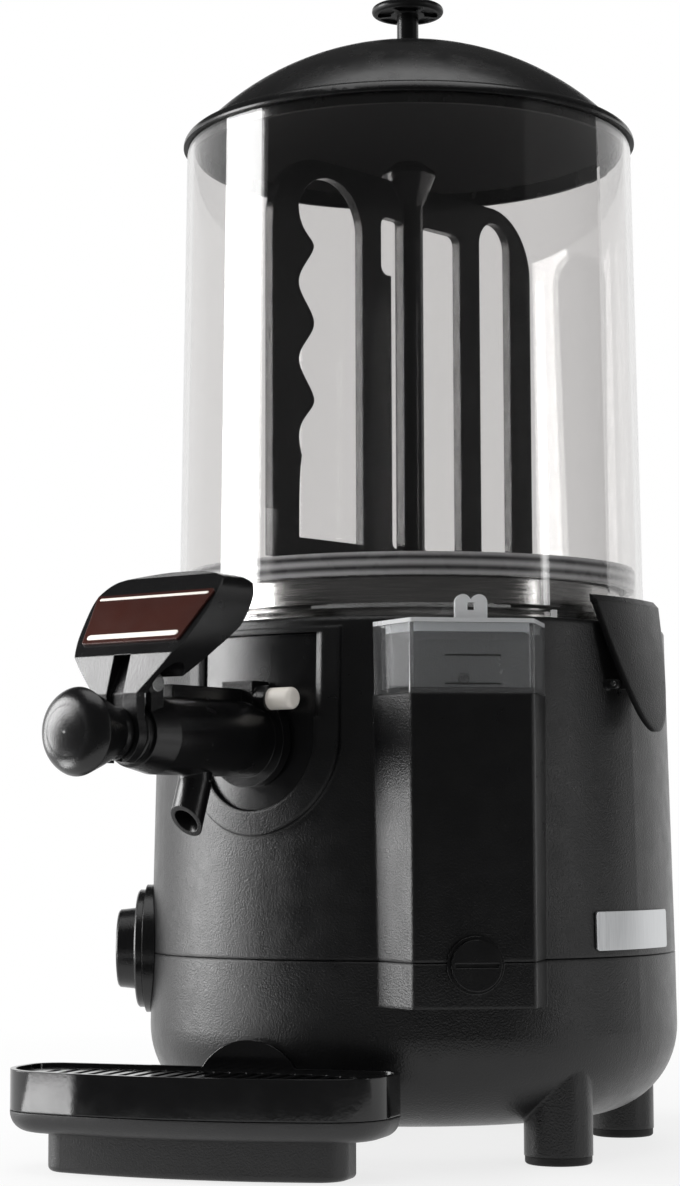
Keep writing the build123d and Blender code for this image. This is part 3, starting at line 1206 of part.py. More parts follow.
def outlet_seal():
    """Ring that seals the tap on the vessel's outlet pipe."""
    near = BARREL_BACK + SHELL
    outer = along_y(SOCKET_RADIUS - RUNNING_FIT, near, near + 2 * SHELL, TAP_Z)
    return outer - along_y(OUTLET_RADIUS + RUNNING_FIT, near, near + 2 * SHELL, TAP_Z)


def lock_pin():
    """Cross pin with rounded ends through the lug on the barrel."""
    pin = along_x(LOCK_PIN_RADIUS - RUNNING_FIT, *LOCK_PIN_SPAN, *LOCK_PIN_PLACE)
    return fillet(pin.edges().group_by(Axis.X)[0] + pin.edges().group_by(Axis.X)[-1], LOCK_PIN_EDGE)


def barrel_gland():
    """Screwed gland that closes the barrel's front and guides the piston's stem."""
    gland = along_y(GLAND_RADIUS, BARREL_FRONT, BARREL_FRONT + GLAND, TAP_Z)
    gland = fillet(gland.edges().sort_by(Axis.Y)[0], GLAND_EDGE)
    gland += along_y(BARREL_BORE - RUNNING_FIT, BARREL_FRONT - GLAND_PLUG, BARREL_FRONT, TAP_Z)
    return gland - along_y(STEM_RADIUS + PISTON_FIT, BARREL_FRONT - GLAND_PLUG, BARREL_FRONT + GLAND, TAP_Z)


def piston():
    """Valve piston: a head with two seal grooves and a stem out to the ball knob."""
    head = along_y(BARREL_BORE - PISTON_FIT, PISTON_BACK, PISTON_FRONT, TAP_Z)
    for place in PISTON_SEALS:
        front = place + PISTON_SEAL
        groove = along_y(BARREL_BORE + SHELL, place, front, TAP_Z)
        head -= groove - along_y(BARREL_BORE - PISTON_FIT - PISTON_SEAL_DEPTH, place, front, TAP_Z)
    return head + along_y(STEM_RADIUS, PISTON_FRONT, BALL_WIDEST, TAP_Z)


def piston_seals():
    inner = BARREL_BORE - PISTON_FIT - PISTON_SEAL_DEPTH + RUNNING_FIT
    outer = BARREL_BORE - RUNNING_FIT
    spans = [(place, place + PISTON_SEAL) for place in PISTON_SEALS]
    return [along_y(outer, *span, TAP_Z) - along_y(inner, *span, TAP_Z) for span in spans]


def tap_spring():
    """Return spring round the stem, as the sleeve that its coils fill."""
    near, far = PISTON_FRONT + SPRING_END_GAP, BARREL_FRONT - GLAND_PLUG - SPRING_END_GAP
    return along_y(SPRING_RADIUS, near, far, TAP_Z) - along_y(SPRING_BORE, near, far, TAP_Z)


def ball_knob():
    """Mushroom knob on the piston's stem, with a collar that the lever's fork pushes."""
    collar_front = BALL_BACK + BALL_COLLAR
    swell_y = collar_front + BALL_SWELL_PLACE * (BALL_WIDEST - collar_front)
    shoulder_y = BALL_WIDEST + BALL_SHOULDER_PLACE * (BALL_FRONT - BALL_WIDEST)
    swell = (BALL_SWELL * BALL_RADIUS, swell_y)
    shoulder = (BALL_SHOULDER * BALL_RADIUS, shoulder_y)
    crown = (BALL_CROWN_RADIUS, BALL_FRONT - BALL_CROWN_DROP)
    bow = (BALL_CROWN_RADIUS ** 2 + BALL_CROWN_DROP ** 2) / (2 * BALL_CROWN_DROP)
    crown_angle = math.degrees(math.asin(BALL_CROWN_RADIUS / bow))
    outline = [
        Polyline((0, BALL_BACK), (BALL_COLLAR_RADIUS, BALL_BACK), (BALL_COLLAR_RADIUS, collar_front)),
        ThreePointArc((BALL_COLLAR_RADIUS, collar_front), swell, (BALL_RADIUS, BALL_WIDEST)),
        ThreePointArc((BALL_RADIUS, BALL_WIDEST), shoulder, crown),
        CenterArc((0, BALL_FRONT - bow), bow, 90 - crown_angle, crown_angle),
        Line((0, BALL_FRONT), (0, BALL_BACK)),
    ]
    knob = revolve(Plane.XZ * make_face(outline), Axis.Z)
    knob = Pos(0, 0, TAP_Z) * Rot(90, 0, 0) * knob
    return knob - along_y(STEM_RADIUS + RUNNING_FIT / 2, BALL_BACK, BALL_WIDEST + RUNNING_FIT, TAP_Z)


def lever_side():
    """Side view of the tap lever, as distances forward and heights."""
    roof_z = TAP_Z + FORK_ROOF
    points = [
        LEVER_PLATE_TOP, LEVER_PLATE_BOTTOM, LEVER_CHIN, (FORK_FRONT, LEVER_NECK_Z), (FORK_FRONT, roof_z),
        (FORK_BACK, roof_z), (FORK_BACK, LEVER_NECK_Z), (PIVOT_Y, PIVOT_Z - LEVER_HUB_RADIUS),
        (PIVOT_Y - LEVER_HUB_RADIUS, PIVOT_Z),
    ]
    points += [(PIVOT_Y + ahead, PIVOT_Z + above) for ahead, above in LEVER_BACK]
    return Plane.YZ * make_face(Polyline([(-forward, z) for forward, z in points], close=True))


def lever_front():
    """Front view of the tap lever: a broad head with a bowed top, drawn in to a narrow neck."""
    corner = (LEVER_CORNER[0], PIVOT_Z + LEVER_CORNER[1])
    neck = (LEVER_NECK_HALF_WIDTH, LEVER_NECK_Z)
    right = [corner] + [(x, PIVOT_Z + above) for x, above in LEVER_CHEEK] + [neck]
    left = [(-x, z) for x, z in reversed(right)]
    foot_z = TAP_Z + FORK_ROOF
    foot = LEVER_NECK_HALF_WIDTH
    return Plane.XZ * make_face([
        ThreePointArc(left[-1], (0, PIVOT_Z + LEVER_CROWN_RISE), corner),
        Spline(right),
        Polyline(neck, (foot, foot_z), (-foot, foot_z), left[0]),
        Spline(left),
    ])


def lever_groove():
    """Upright groove down the front of the lever's neck, deepest under the plate, into the fork."""
    chin_y, chin_z = LEVER_CHIN
    foot_z = TAP_Z + FORK_ROOF
    ahead = FORK_FRONT + LEVER_GROOVE
    outline = [(chin_y - LEVER_GROOVE_TOP, chin_z), (FORK_FRONT - LEVER_GROOVE, LEVER_NECK_Z),
               (FORK_FRONT - LEVER_GROOVE, foot_z), (ahead, foot_z), (ahead, chin_z)]
    face = Plane.YZ * make_face(Polyline([(-forward, z) for forward, z in outline], close=True))
    return extrude(face, amount=FORK_HALF_GAP, both=True)


def tap_lever():
    """Lever with a broad head, a hub between the barrel's ears and a fork behind the ball knob."""
    lever = extrude(lever_side(), amount=2 * LEVER_HALF_WIDTH, both=True)
    lever &= extrude(lever_front(), amount=2 * TAP_Z)
    for low, high in ((-LEVER_HALF_WIDTH, -HUB_HALF_WIDTH), (HUB_HALF_WIDTH, LEVER_HALF_WIDTH)):
        lever -= along_x(EAR_RADIUS + EAR_ROOM, low, high, PIVOT_Y, PIVOT_Z)
    fork = along_y(FORK_RADIUS, FORK_BACK, FORK_FRONT, TAP_Z)
    low_z, foot_z, roof_z = TAP_Z - 2 * FORK_RADIUS, TAP_Z - FORK_FOOT, TAP_Z + FORK_ROOF
    fork -= block(-FORK_HALF_GAP, FORK_HALF_GAP, FORK_BACK, FORK_FRONT, low_z, roof_z)
    fork -= block(-FORK_RADIUS, FORK_RADIUS, FORK_BACK, FORK_FRONT, low_z, foot_z)
    lever += fork
    lever += along_x(LEVER_HUB_RADIUS, -HUB_HALF_WIDTH, HUB_HALF_WIDTH, PIVOT_Y, PIVOT_Z)
    lever -= lever_groove()
    pin_hole = along_x(PIVOT_PIN_RADIUS + RUNNING_FIT, -LEVER_HALF_WIDTH, LEVER_HALF_WIDTH, PIVOT_Y, PIVOT_Z)
    return lever - pin_hole


def lever_plate():
    """Bare plate on the sloping front of the lever's head."""
    (top_y, top_z), (bottom_y, bottom_z) = LEVER_PLATE_TOP, LEVER_PLATE_BOTTOM
    slope = math.hypot(top_y - bottom_y, top_z - bottom_z)
    middle = (0, -(top_y + bottom_y) / 2, (top_z + bottom_z) / 2)
    normal = (0, -(top_z - bottom_z) / slope, (bottom_y - top_y) / slope)
    half = slope / 2 - PLATE_MARGIN / 2
    top, bottom = LEVER_HALF_WIDTH - PLATE_MARGIN, PLATE_FOOT_HALF_WIDTH
    outline = make_face(Polyline((-bottom, -half), (bottom, -half), (top, half), (-top, half), close=True))
    outline = fillet(outline.vertices(), PLATE_MARGIN)
    return extrude(Plane(middle, x_dir=(1, 0, 0), z_dir=normal) * outline, amount=LEVER_PLATE)


def pivot_pin():
    half = PIVOT_PIN_LENGTH / 2
    pin = along_x(PIVOT_PIN_RADIUS - RUNNING_FIT / 2, -half, half, PIVOT_Y, PIVOT_Z)
    ear_out = HUB_HALF_WIDTH + HUB_CLEARANCE + EAR_THICKNESS
    return pin + along_x(PIVOT_HEAD_RADIUS, ear_out, ear_out + PIVOT_HEAD, PIVOT_Y, PIVOT_Z)


def cable_gland():
    """Cable gland at the back of the base, with a nut inside."""
    back = BODY_RADIUS
    gland = along_y(CABLE_GLAND_RADIUS, back + HOLE_CLEARANCE, back + CABLE_GLAND_PROUD, CABLE_GLAND_Z)
    gland = fillet(gland.edges().sort_by(Axis.Y)[0], SHELL / 2)
    neck_radius = CABLE_GLAND_BORE + SCREW_RADIUS - RUNNING_FIT
    gland += along_y(neck_radius, back - 3 * SHELL, back + SHELL, CABLE_GLAND_Z)
    nut_front = back - 1.5 * SHELL
    gland += along_y(CABLE_GLAND_RADIUS, nut_front - CABLE_GLAND_NUT, nut_front, CABLE_GLAND_Z)
    bore = along_y(CABLE_GLAND_BORE, back - 4 * SHELL, back + CABLE_GLAND_PROUD, CABLE_GLAND_Z)
    return turn_to(180, gland - bore)


def terminal_block():
    """Terminal block on the bottom cover."""
    length, width, height = TERMINAL_SIZE
    low, high = cover_top_z(), cover_top_z() + height
    body = block(-length / 2, length / 2, -TERMINAL_PLACE - width / 2, -TERMINAL_PLACE + width / 2, low, high)
    pitch = length / TERMINAL_SCREWS
    for n in range(TERMINAL_SCREWS):
        x = (n - (TERMINAL_SCREWS - 1) / 2) * pitch
        body -= upright(SCREW_RADIUS + HOLE_CLEARANCE, low + height / 2, high, x, TERMINAL_PLACE)
    return body


def tray_back():
    """Distance from the axis to the back of the tray, just clear of the base at the rim's height."""
    drop = BASE_BOTTOM_Z + BASE_ROUNDING - TRAY_RIM_Z
    return BODY_RADIUS - BASE_ROUNDING + math.sqrt(BASE_ROUNDING ** 2 - drop ** 2) + TRAY_GAP


def tray_front(x):
    """Distance from the axis to the tray's bowed front, at a distance from the tray's middle."""
    return tray_back() + TRAY_DEPTH - TRAY_BOW * (x / TRAY_HALF_WIDTH) ** 2


def tray_plan(inset, end_inset):
    """Tray outline with a bowed front and rounded corners, drawn in, before the tray is turned."""
    half = TRAY_HALF_WIDTH - end_inset
    back, front = -tray_back() - inset, inset - tray_front(0)
    end = inset - tray_front(half)
    plan = make_face([
        Polyline((-half, end), (-half, back), (half, back), (half, end)),
        ThreePointArc((half, end), (0, front), (-half, end)),
    ])
    plan = fillet(plan.vertices().sort_by(Axis.Y)[-2:], max(TRAY_BACK_CORNER - inset, TRAY_BACK_CORNER / 3))
    plan = fillet(plan.vertices().sort_by(Axis.Y)[:2], max(TRAY_CORNER - inset, TRAY_CORNER / 3))
    return Pos(TRAY_SHIFT, 0) * plan


def tray_block(inset, z_low, z_high, end_inset=None):
    plan = tray_plan(inset, inset if end_inset is None else end_inset)
    return Pos(0, 0, z_low) * extrude(plan, amount=z_high - z_low)


def drip_tray():
    """Glossy tray tub with a ledge for the grille and a half-round tab at its back."""
    tub = tray_block(TRAY_LIP_WALL, TRAY_FLOOR_Z, TRAY_BAND_Z) + tray_block(0, TRAY_BAND_Z, TRAY_RIM_Z)
    ledge_z = TRAY_RIM_Z - GRILLE_DEPTH
    tub -= tray_block(TRAY_WALL, ledge_z, TRAY_RIM_Z)
    inside = tray_block(TRAY_WALL + TRAY_LEDGE, TRAY_FLOOR_Z + TRAY_WALL, ledge_z)
    tub -= fillet(inside.edges().group_by(Axis.Z)[0], TRAY_ROUNDING)
    half = TRAY_TAB_WIDTH / 2
    middle = TRAY_SHIFT + TRAY_TAB_PLACE
    tab = make_face([
        ThreePointArc(
            (middle - half, TRAY_RIM_Z), (middle, TRAY_RIM_Z + TRAY_TAB_RISE), (middle + half, TRAY_RIM_Z),
        ),
        Polyline((middle + half, TRAY_RIM_Z), (middle + half, ledge_z), (middle - half, ledge_z),
                 (middle - half, TRAY_RIM_Z)),
    ])
    tub += Pos(0, -tray_back(), 0) * extrude(Plane.XZ * tab, amount=TRAY_WALL)
    return turn_to(TRAY_TURN, tub)


def tray_stand():
    """Matte hollow stand under the tray, with a flared lip that the tub sits in."""
    lip = tray_block(0, TRAY_LIP_Z, TRAY_BAND_Z - TRAY_SEAM)
    lip = fillet(lip.edges().group_by(Axis.Z)[0], TRAY_LIP_ROUNDING)
    lip -= tray_block(TRAY_LIP_WALL - PANEL_GAP, TRAY_FLOOR_Z, TRAY_BAND_Z)
    stand = tray_block(STAND_INSET, 0, TRAY_LIP_Z, STAND_END_INSET)
    stand = fillet(stand.edges().group_by(Axis.Z)[0], TRAY_WALL)
    stand -= tray_block(STAND_INSET + TRAY_WALL, 0, TRAY_LIP_Z - TRAY_WALL, STAND_END_INSET + TRAY_WALL)
    return turn_to(TRAY_TURN, lip + stand)


def tray_grille():
    """Slotted grille that lies on the tray's ledge."""
    low = TRAY_RIM_Z - GRILLE_DEPTH
    inset = TRAY_WALL + GRILLE_GAP
    grille = tray_block(inset, low, low + GRILLE_THICKNESS)
    border = inset + GRILLE_BORDER
    room = TRAY_HALF_WIDTH - border - GRILLE_SLOT / 2
    count = int(room // GRILLE_PITCH)
    slots = Sketch()
    for n in range(-count, count + 1):
        x = n * GRILLE_PITCH
        short = max(0.0, abs(x) + TRAY_CORNER - room)
        back, front = tray_back() + border, tray_front(x) - border
        place = Pos(TRAY_SHIFT + x, -(back + front) / 2) * Rot(0, 0, 90)
        slots += place * SlotOverall(front - back - short, GRILLE_SLOT)
    return turn_to(TRAY_TURN, grille - Pos(0, 0, low) * extrude(slots, amount=GRILLE_THICKNESS))


PIECES = {
    "base_shell": base_shell,
    "foot_pads": foot_pads,
    "bottom_cover": bottom_cover,
    "cover_screws": cover_screws,
    "upper_casing": upper_casing,
    "tap_panel": tap_panel,
    "casing_screws": casing_screws,
    "plate_screws": plate_screws,
    "side_plate": side_plate,
    "level_box": level_box,
    "level_marks": level_marks,
    "level_cap": level_cap,
    "level_tube": level_tube,
    "drain_pipe": drain_pipe,
    "drain_collar": drain_collar,
    "drain_plug": drain_plug,
    "steel_vessel": steel_vessel,
    "water_jacket": water_jacket,
    "jacket_spacers": jacket_spacers,
    "bowl_seal": bowl_seal,
    "rim_gasket": rim_gasket,
    "heating_element": heating_element,
    "safety_cutout": safety_cutout,
    "thermostat_bulb": thermostat_bulb,
    "thermostat": thermostat,
    "dial_base": dial_base,
    "dial_knob": dial_knob,
    "support_plate": support_plate,
    "gearbox": gearbox,
    "gearbox_screws": gearbox_screws,
    "motor": motor,
    "drive_shaft": drive_shaft,
    "drive_pin": drive_pin,
    "shaft_tube": shaft_tube,
    "shaft_bushes": shaft_bushes,
    "stirrer": stirrer,
    "bowl": bowl,
    "lid": lid,
    "lid_knob": lid_knob,
    "lid_screw": lid_screw,
    "clip_right": lambda: bowl_clip(90),
    "clip_left": lambda: bowl_clip(-90),
    "clip_pins": clip_pins,
    "tap_barrel": tap_barrel,
    "outlet_seal": outlet_seal,
    "lock_pin": lock_pin,
    "barrel_gland": barrel_gland,
    "piston": piston,
    "piston_seals": piston_seals,
    "tap_spring": tap_spring,
    "ball_knob": ball_knob,
    "tap_lever": tap_lever,
    "lever_plate": lever_plate,
    "pivot_pin": pivot_pin,
    "cable_gland": cable_gland,
    "terminal_block": terminal_block,
    "drip_tray": drip_tray,
    "tray_stand": tray_stand,
    "tray_grille": tray_grille,
}


def main():
    os.makedirs("parts", exist_ok=True)
    for name, make in PIECES.items():
        made = make()
        group = made if isinstance(made, list) else [made]
        solids = [solid for shape in group for solid in shape.solids()]
        moved = Pos(0, AXIS_Y, 0) * Compound(children=solids)
        export_step(moved, f"parts/{name}.step")


main()
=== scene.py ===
"""Looks of the hot chocolate dispenser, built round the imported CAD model. Metres, in the frame of the CAD."""
import json
import math

import bmesh
import bpy
from mathutils import Matrix, Vector


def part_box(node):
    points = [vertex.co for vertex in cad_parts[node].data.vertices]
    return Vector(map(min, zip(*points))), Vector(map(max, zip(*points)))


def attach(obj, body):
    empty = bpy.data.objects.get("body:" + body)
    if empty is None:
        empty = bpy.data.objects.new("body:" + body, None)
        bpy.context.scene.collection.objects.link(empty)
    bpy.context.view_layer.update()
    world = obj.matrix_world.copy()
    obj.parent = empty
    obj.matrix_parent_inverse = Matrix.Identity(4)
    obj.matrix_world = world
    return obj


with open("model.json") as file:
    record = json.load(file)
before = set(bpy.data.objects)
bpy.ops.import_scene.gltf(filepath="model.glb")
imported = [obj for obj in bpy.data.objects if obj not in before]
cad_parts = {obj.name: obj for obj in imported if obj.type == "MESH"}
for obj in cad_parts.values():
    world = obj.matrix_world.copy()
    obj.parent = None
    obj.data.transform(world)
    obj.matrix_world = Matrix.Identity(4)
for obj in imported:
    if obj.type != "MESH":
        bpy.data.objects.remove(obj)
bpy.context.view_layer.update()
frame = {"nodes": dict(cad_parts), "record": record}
NODES = frame["nodes"]

# The casing's axis stands behind the origin, in the middle of the bowl
AXIS_Y = (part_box("bowl")[0][1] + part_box("bowl")[1][1]) / 2
MILLIMETRES = 1000


def spot(x, y, z):
    """Point in the frame, from millimetres counted from the casing's axis and the table."""
    return Vector((x / MILLIMETRES, y / MILLIMETRES + AXIS_Y, z / MILLIMETRES))


# Material helpers. Noise scales are in cells to the metre, and heights and edges in metres.
PATCH_CELLS = 14.0
WEAR_CELLS = 45.0
GLOSS_CELLS = 90.0
BRUSH_CELLS = 60.0
SMEAR_CELLS = 30.0
TINT_CELLS = 12.0
FLOW_CELLS = 9.0
SEAL_GRAIN_CELLS = 900.0
FLOW_STRETCH = (1, 1, 0.15)
GRAIN_HEIGHT = 0.0004
BRUSH_HEIGHT = 0.0003
FLOW_HEIGHT = 0.001
METAL_EDGE = 0.0004
ACRYLIC_IOR = 1.49
# An edge is lightened, for wear and as a painted edge highlight, where its rounded normal leaves the face's
# normal by this much, as cosines
EDGE_WORN_HIGHLIT, EDGE_OPEN = 0.75, 0.98
# A face looks down where its normal's height is below these, fully and not at all
UNDER_FULL, UNDER_NONE = -0.4, -0.1
# Lightened edges, partly wear and partly a painted edge highlight, are lighter by this factor and this much
EDGE_WEAR_HIGHLIGHT_GAIN, EDGE_WEAR_HIGHLIGHT_LIFT = 2.2, 0.01
# The wave texture has this many radians to the metre at a scale of 1
WAVE_RADIANS = 20


def new_material(name):
    made = bpy.data.materials.new(name)
    made.use_nodes = True
    tree = made.node_tree
    tree.nodes.clear()
    out = tree.nodes.new("ShaderNodeOutputMaterial")
    shader = tree.nodes.new("ShaderNodeBsdfPrincipled")
    tree.links.new(shader.outputs["BSDF"], out.inputs["Surface"])
    return made, tree, shader


def noise(tree, scale, detail=3.0, stretch=(1, 1, 1)):
    """Noise in the object's own coordinates, which are metres in the frame."""
    coords = tree.nodes.new("ShaderNodeTexCoord")
    mapping = tree.nodes.new("ShaderNodeMapping")
    mapping.inputs["Scale"].default_value = stretch
    texture = tree.nodes.new("ShaderNodeTexNoise")
    texture.inputs["Scale"].default_value = scale
    texture.inputs["Detail"].default_value = detail
    tree.links.new(coords.outputs["Object"], mapping.inputs["Vector"])
    tree.links.new(mapping.outputs["Vector"], texture.inputs["Vector"])
    return texture.outputs["Fac"]


def ramp(tree, value, low, high, start=0.3, end=0.7):
    """Maps a noise value to a range."""
    node = tree.nodes.new("ShaderNodeMapRange")
    node.inputs["From Min"].default_value = start
    node.inputs["From Max"].default_value = end
    node.inputs["To Min"].default_value = low
    node.inputs["To Max"].default_value = high
    tree.links.new(value, node.inputs["Value"])
    return node.outputs["Result"]


def mix_colour(tree, value, first, second):
    node = tree.nodes.new("ShaderNodeMix")
    node.data_type = "RGBA"
    node.inputs["A"].default_value = (*first, 1)
    node.inputs["B"].default_value = (*second, 1)
    tree.links.new(value, node.inputs["Factor"])
    return node.outputs["Result"]


def bump(tree, value, strength, distance, normal=None):
    node = tree.nodes.new("ShaderNodeBump")
    node.inputs["Strength"].default_value = strength
    node.inputs["Distance"].default_value = distance
    tree.links.new(value, node.inputs["Height"])
    if normal is not None:
        tree.links.new(normal, node.inputs["Normal"])
    return node.outputs["Normal"]


def rounded(tree, radius):
    """Normal that is rounded off along the edges, as moulds and presses leave them."""
    node = tree.nodes.new("ShaderNodeBevel")
    node.samples = 4
    node.inputs["Radius"].default_value = radius
    return node.outputs["Normal"]


def edge_mask(tree, normal):
    """0 on open faces, and up to 1 along the edges, which are lightened for wear and as a painted highlight."""
    geometry = tree.nodes.new("ShaderNodeNewGeometry")
    product = tree.nodes.new("ShaderNodeVectorMath")
    product.operation = "DOT_PRODUCT"
    tree.links.new(geometry.outputs["Normal"], product.inputs[0])
    tree.links.new(normal, product.inputs[1])
    return ramp(tree, product.outputs["Value"], 1, 0, EDGE_WORN_HIGHLIT, EDGE_OPEN)


def edge_wear_and_highlight(tree, colour, normal, share, tone):
    """Colour that is lighter along the edges, partly wear and partly a painted edge highlight, more in some
    places than in others.
    """
    patchy = tree.nodes.new("ShaderNodeMath")
    patchy.operation = "MULTIPLY"
    tree.links.new(edge_mask(tree, normal), patchy.inputs[0])
    tree.links.new(ramp(tree, noise(tree, WEAR_CELLS, 4.0), 0, share), patchy.inputs[1])
    node = tree.nodes.new("ShaderNodeMix")
    node.data_type = "RGBA"
    node.inputs["B"].default_value = (*tone, 1)
    tree.links.new(patchy.outputs[0], node.inputs["Factor"])
    tree.links.new(colour, node.inputs["A"])
    return node.outputs["Result"]


def facing_down(tree, value, under):
    """Value that gives way to another on the faces that look down."""
    geometry = tree.nodes.new("ShaderNodeNewGeometry")
    split = tree.nodes.new("ShaderNodeSeparateXYZ")
    tree.links.new(geometry.outputs["Normal"], split.inputs["Vector"])
    node = tree.nodes.new("ShaderNodeMix")
    node.inputs["B"].default_value = under
    tree.links.new(ramp(tree, split.outputs["Z"], 1, 0, UNDER_FULL, UNDER_NONE), node.inputs["Factor"])
    tree.links.new(value, node.inputs["A"])
    return node.outputs["Result"]


def plastic(name, first, second, rough, grain, depth, specular=0.5, under=None, edge=0.0007, wear_and_highlight=0.5):
    """Moulded plastic: slight colour patches, uneven gloss, a fine grain and rounded edges, which are lighter
    from wear and a painted edge highlight.
    """
    made, tree, shader = new_material(name)
    normal = rounded(tree, edge)
    colour = mix_colour(tree, ramp(tree, noise(tree, PATCH_CELLS), 0, 1), first, second)
    # Edges are painted lighter: partly wear, partly a painted edge highlight.
    worn_highlit_tone = [min(1.0, EDGE_WEAR_HIGHLIGHT_GAIN * c + EDGE_WEAR_HIGHLIGHT_LIFT) for c in second]
    tree.links.new(edge_wear_and_highlight(tree, colour, normal, wear_and_highlight, worn_highlit_tone), shader.inputs["Base Color"])
    gloss = ramp(tree, noise(tree, GLOSS_CELLS, 5.0), *rough)
    if under:
        gloss = facing_down(tree, gloss, under)
    tree.links.new(gloss, shader.inputs["Roughness"])
    tree.links.new(bump(tree, noise(tree, grain, 2.0), depth, GRAIN_HEIGHT, normal), shader.inputs["Normal"])
    shader.inputs["Specular IOR Level"].default_value = specular
    return made


def metal(name, first, second, rough, stretch):
    """Brushed or polished metal with fine drawn lines."""
    made, tree, shader = new_material(name)
    lines = noise(tree, BRUSH_CELLS, 6.0, stretch)
    tree.links.new(mix_colour(tree, ramp(tree, lines, 0, 1), first, second), shader.inputs["Base Color"])
    tree.links.new(ramp(tree, lines, *rough), shader.inputs["Roughness"])
    normal = bump(tree, lines, 0.05, BRUSH_HEIGHT, rounded(tree, METAL_EDGE))
    tree.links.new(normal, shader.inputs["Normal"])
    shader.inputs["Metallic"].default_value = 1.0
    return made


def clear(name, tint, rough, share=1.0):
    """Clear moulded plastic with faint smears and flow lines. The share is what it lets through."""
    made, tree, shader = new_material(name)
    lighter = [min(1, c * 1.02) for c in tint]
    colour = mix_colour(tree, ramp(tree, noise(tree, TINT_CELLS), 0, 1), tint, lighter)
    tree.links.new(colour, shader.inputs["Base Color"])
    tree.links.new(ramp(tree, noise(tree, SMEAR_CELLS, 4.0), *rough), shader.inputs["Roughness"])
    normal = bump(tree, noise(tree, FLOW_CELLS, 1.0, FLOW_STRETCH), 0.05, FLOW_HEIGHT)
    tree.links.new(normal, shader.inputs["Normal"])
    shader.inputs["Transmission Weight"].default_value = share
    shader.inputs["IOR"].default_value = ACRYLIC_IOR
    return made


def painted_reflection_bands(name, first, second, rough, pitch):
    """Rubber whose level light and dark bands are painted reflections, standing in for rings of light and shade
    at the bowl's foot.
    """
    made, tree, shader = new_material(name)
    coords = tree.nodes.new("ShaderNodeTexCoord")
    bands = tree.nodes.new("ShaderNodeTexWave")
    bands.bands_direction = "Z"
    bands.inputs["Scale"].default_value = 2 * math.pi / (WAVE_RADIANS * pitch)
    tree.links.new(coords.outputs["Object"], bands.inputs["Vector"])
    tree.links.new(mix_colour(tree, bands.outputs["Fac"], first, second), shader.inputs["Base Color"])
    tree.links.new(ramp(tree, noise(tree, GLOSS_CELLS, 5.0), *rough), shader.inputs["Roughness"])
    normal = bump(tree, noise(tree, SEAL_GRAIN_CELLS, 2.0), 0.1, GRAIN_HEIGHT)
    tree.links.new(normal, shader.inputs["Normal"])
    return made


DEEP_BLACK = (0.003, 0.003, 0.0033)
BLACK = plastic("casing_plastic", DEEP_BLACK, (0.005, 0.005, 0.0054), (0.27, 0.36), 1150.0, 0.5,
                specular=0.42, edge=0.002)
SATIN = plastic("tap_plastic", DEEP_BLACK, (0.005, 0.005, 0.0053), (0.2, 0.28), 1300.0, 0.22, specular=0.45)
GLOSS = plastic("gloss_plastic", DEEP_BLACK, (0.005, 0.005, 0.0053), (0.06, 0.13), 500.0, 0.03)
LID_BLACK = plastic("lid_plastic", (0.003, 0.003, 0.0032), (0.005, 0.005, 0.0052), (0.2, 0.3), 1100.0, 0.12,
                    specular=0.4, under=0.6, edge=0.0003, wear_and_highlight=0.2)
STIR_BLACK = plastic("stirrer_plastic", DEEP_BLACK, (0.005, 0.005, 0.0056), (0.14, 0.24), 700.0, 0.06,
                     specular=0.4)
STAND_GREY = plastic("stand_plastic", (0.012, 0.012, 0.0125), (0.017, 0.017, 0.0175), (0.36, 0.46),
                     1200.0, 0.4)
RUBBER = plastic("rubber", (0.008, 0.008, 0.008), (0.013, 0.013, 0.013), (0.5, 0.65), 1100.0, 0.2,
                 specular=0.3)
# The seal's light and dark bands are painted reflections, not the rubber's own colour.
SEAL_PAINTED_REFLECTIONS = painted_reflection_bands("seal_painted_reflections", (0.05, 0.05, 0.055), (0.55, 0.555, 0.565), (0.2, 0.35), 0.0048)
CLEAR = clear("clear_bowl", (0.79, 0.78, 0.775), (0.0, 0.02))
CLEAR_BOX = clear("clear_box", (0.88, 0.89, 0.90), (0.03, 0.08), 0.955)
MILKY = clear("milky_cap", (0.82, 0.83, 0.84), (0.25, 0.4), 0.55)
STEEL = metal("brushed_steel", (0.50, 0.50, 0.50), (0.62, 0.62, 0.61), (0.12, 0.24), (1, 1, 26))
BRIGHT = metal("bright_steel", (0.62, 0.62, 0.62), (0.72, 0.72, 0.71), (0.08, 0.18), (12, 1, 1))
BRASS = metal("brass", (0.6, 0.42, 0.16), (0.72, 0.53, 0.24), (0.2, 0.35), (1, 1, 8))
MOTOR = plastic("motor_paint", (0.05, 0.052, 0.056), (0.07, 0.072, 0.076), (0.35, 0.5), 500.0, 0.1)
PLATE_GREY = metal("plate_grey", (0.60, 0.61, 0.62), (0.68, 0.69, 0.70), (0.3, 0.42), (1, 20, 1))
PLATE_BROWN = plastic("plate_brown", (0.030, 0.008, 0.006), (0.046, 0.013, 0.009), (0.18, 0.28), 500.0, 0.05)
MARK = plastic("level_ink", (0.006, 0.006, 0.006), (0.012, 0.012, 0.012), (0.4, 0.5), 800.0, 0.05)
WHITE = plastic("terminal_plastic", (0.55, 0.54, 0.5), (0.62, 0.6, 0.56), (0.4, 0.55), 600.0, 0.1)
IVORY = plastic("pin_plastic", (0.74, 0.70, 0.64), (0.82, 0.78, 0.72), (0.3, 0.42), 700.0, 0.08)

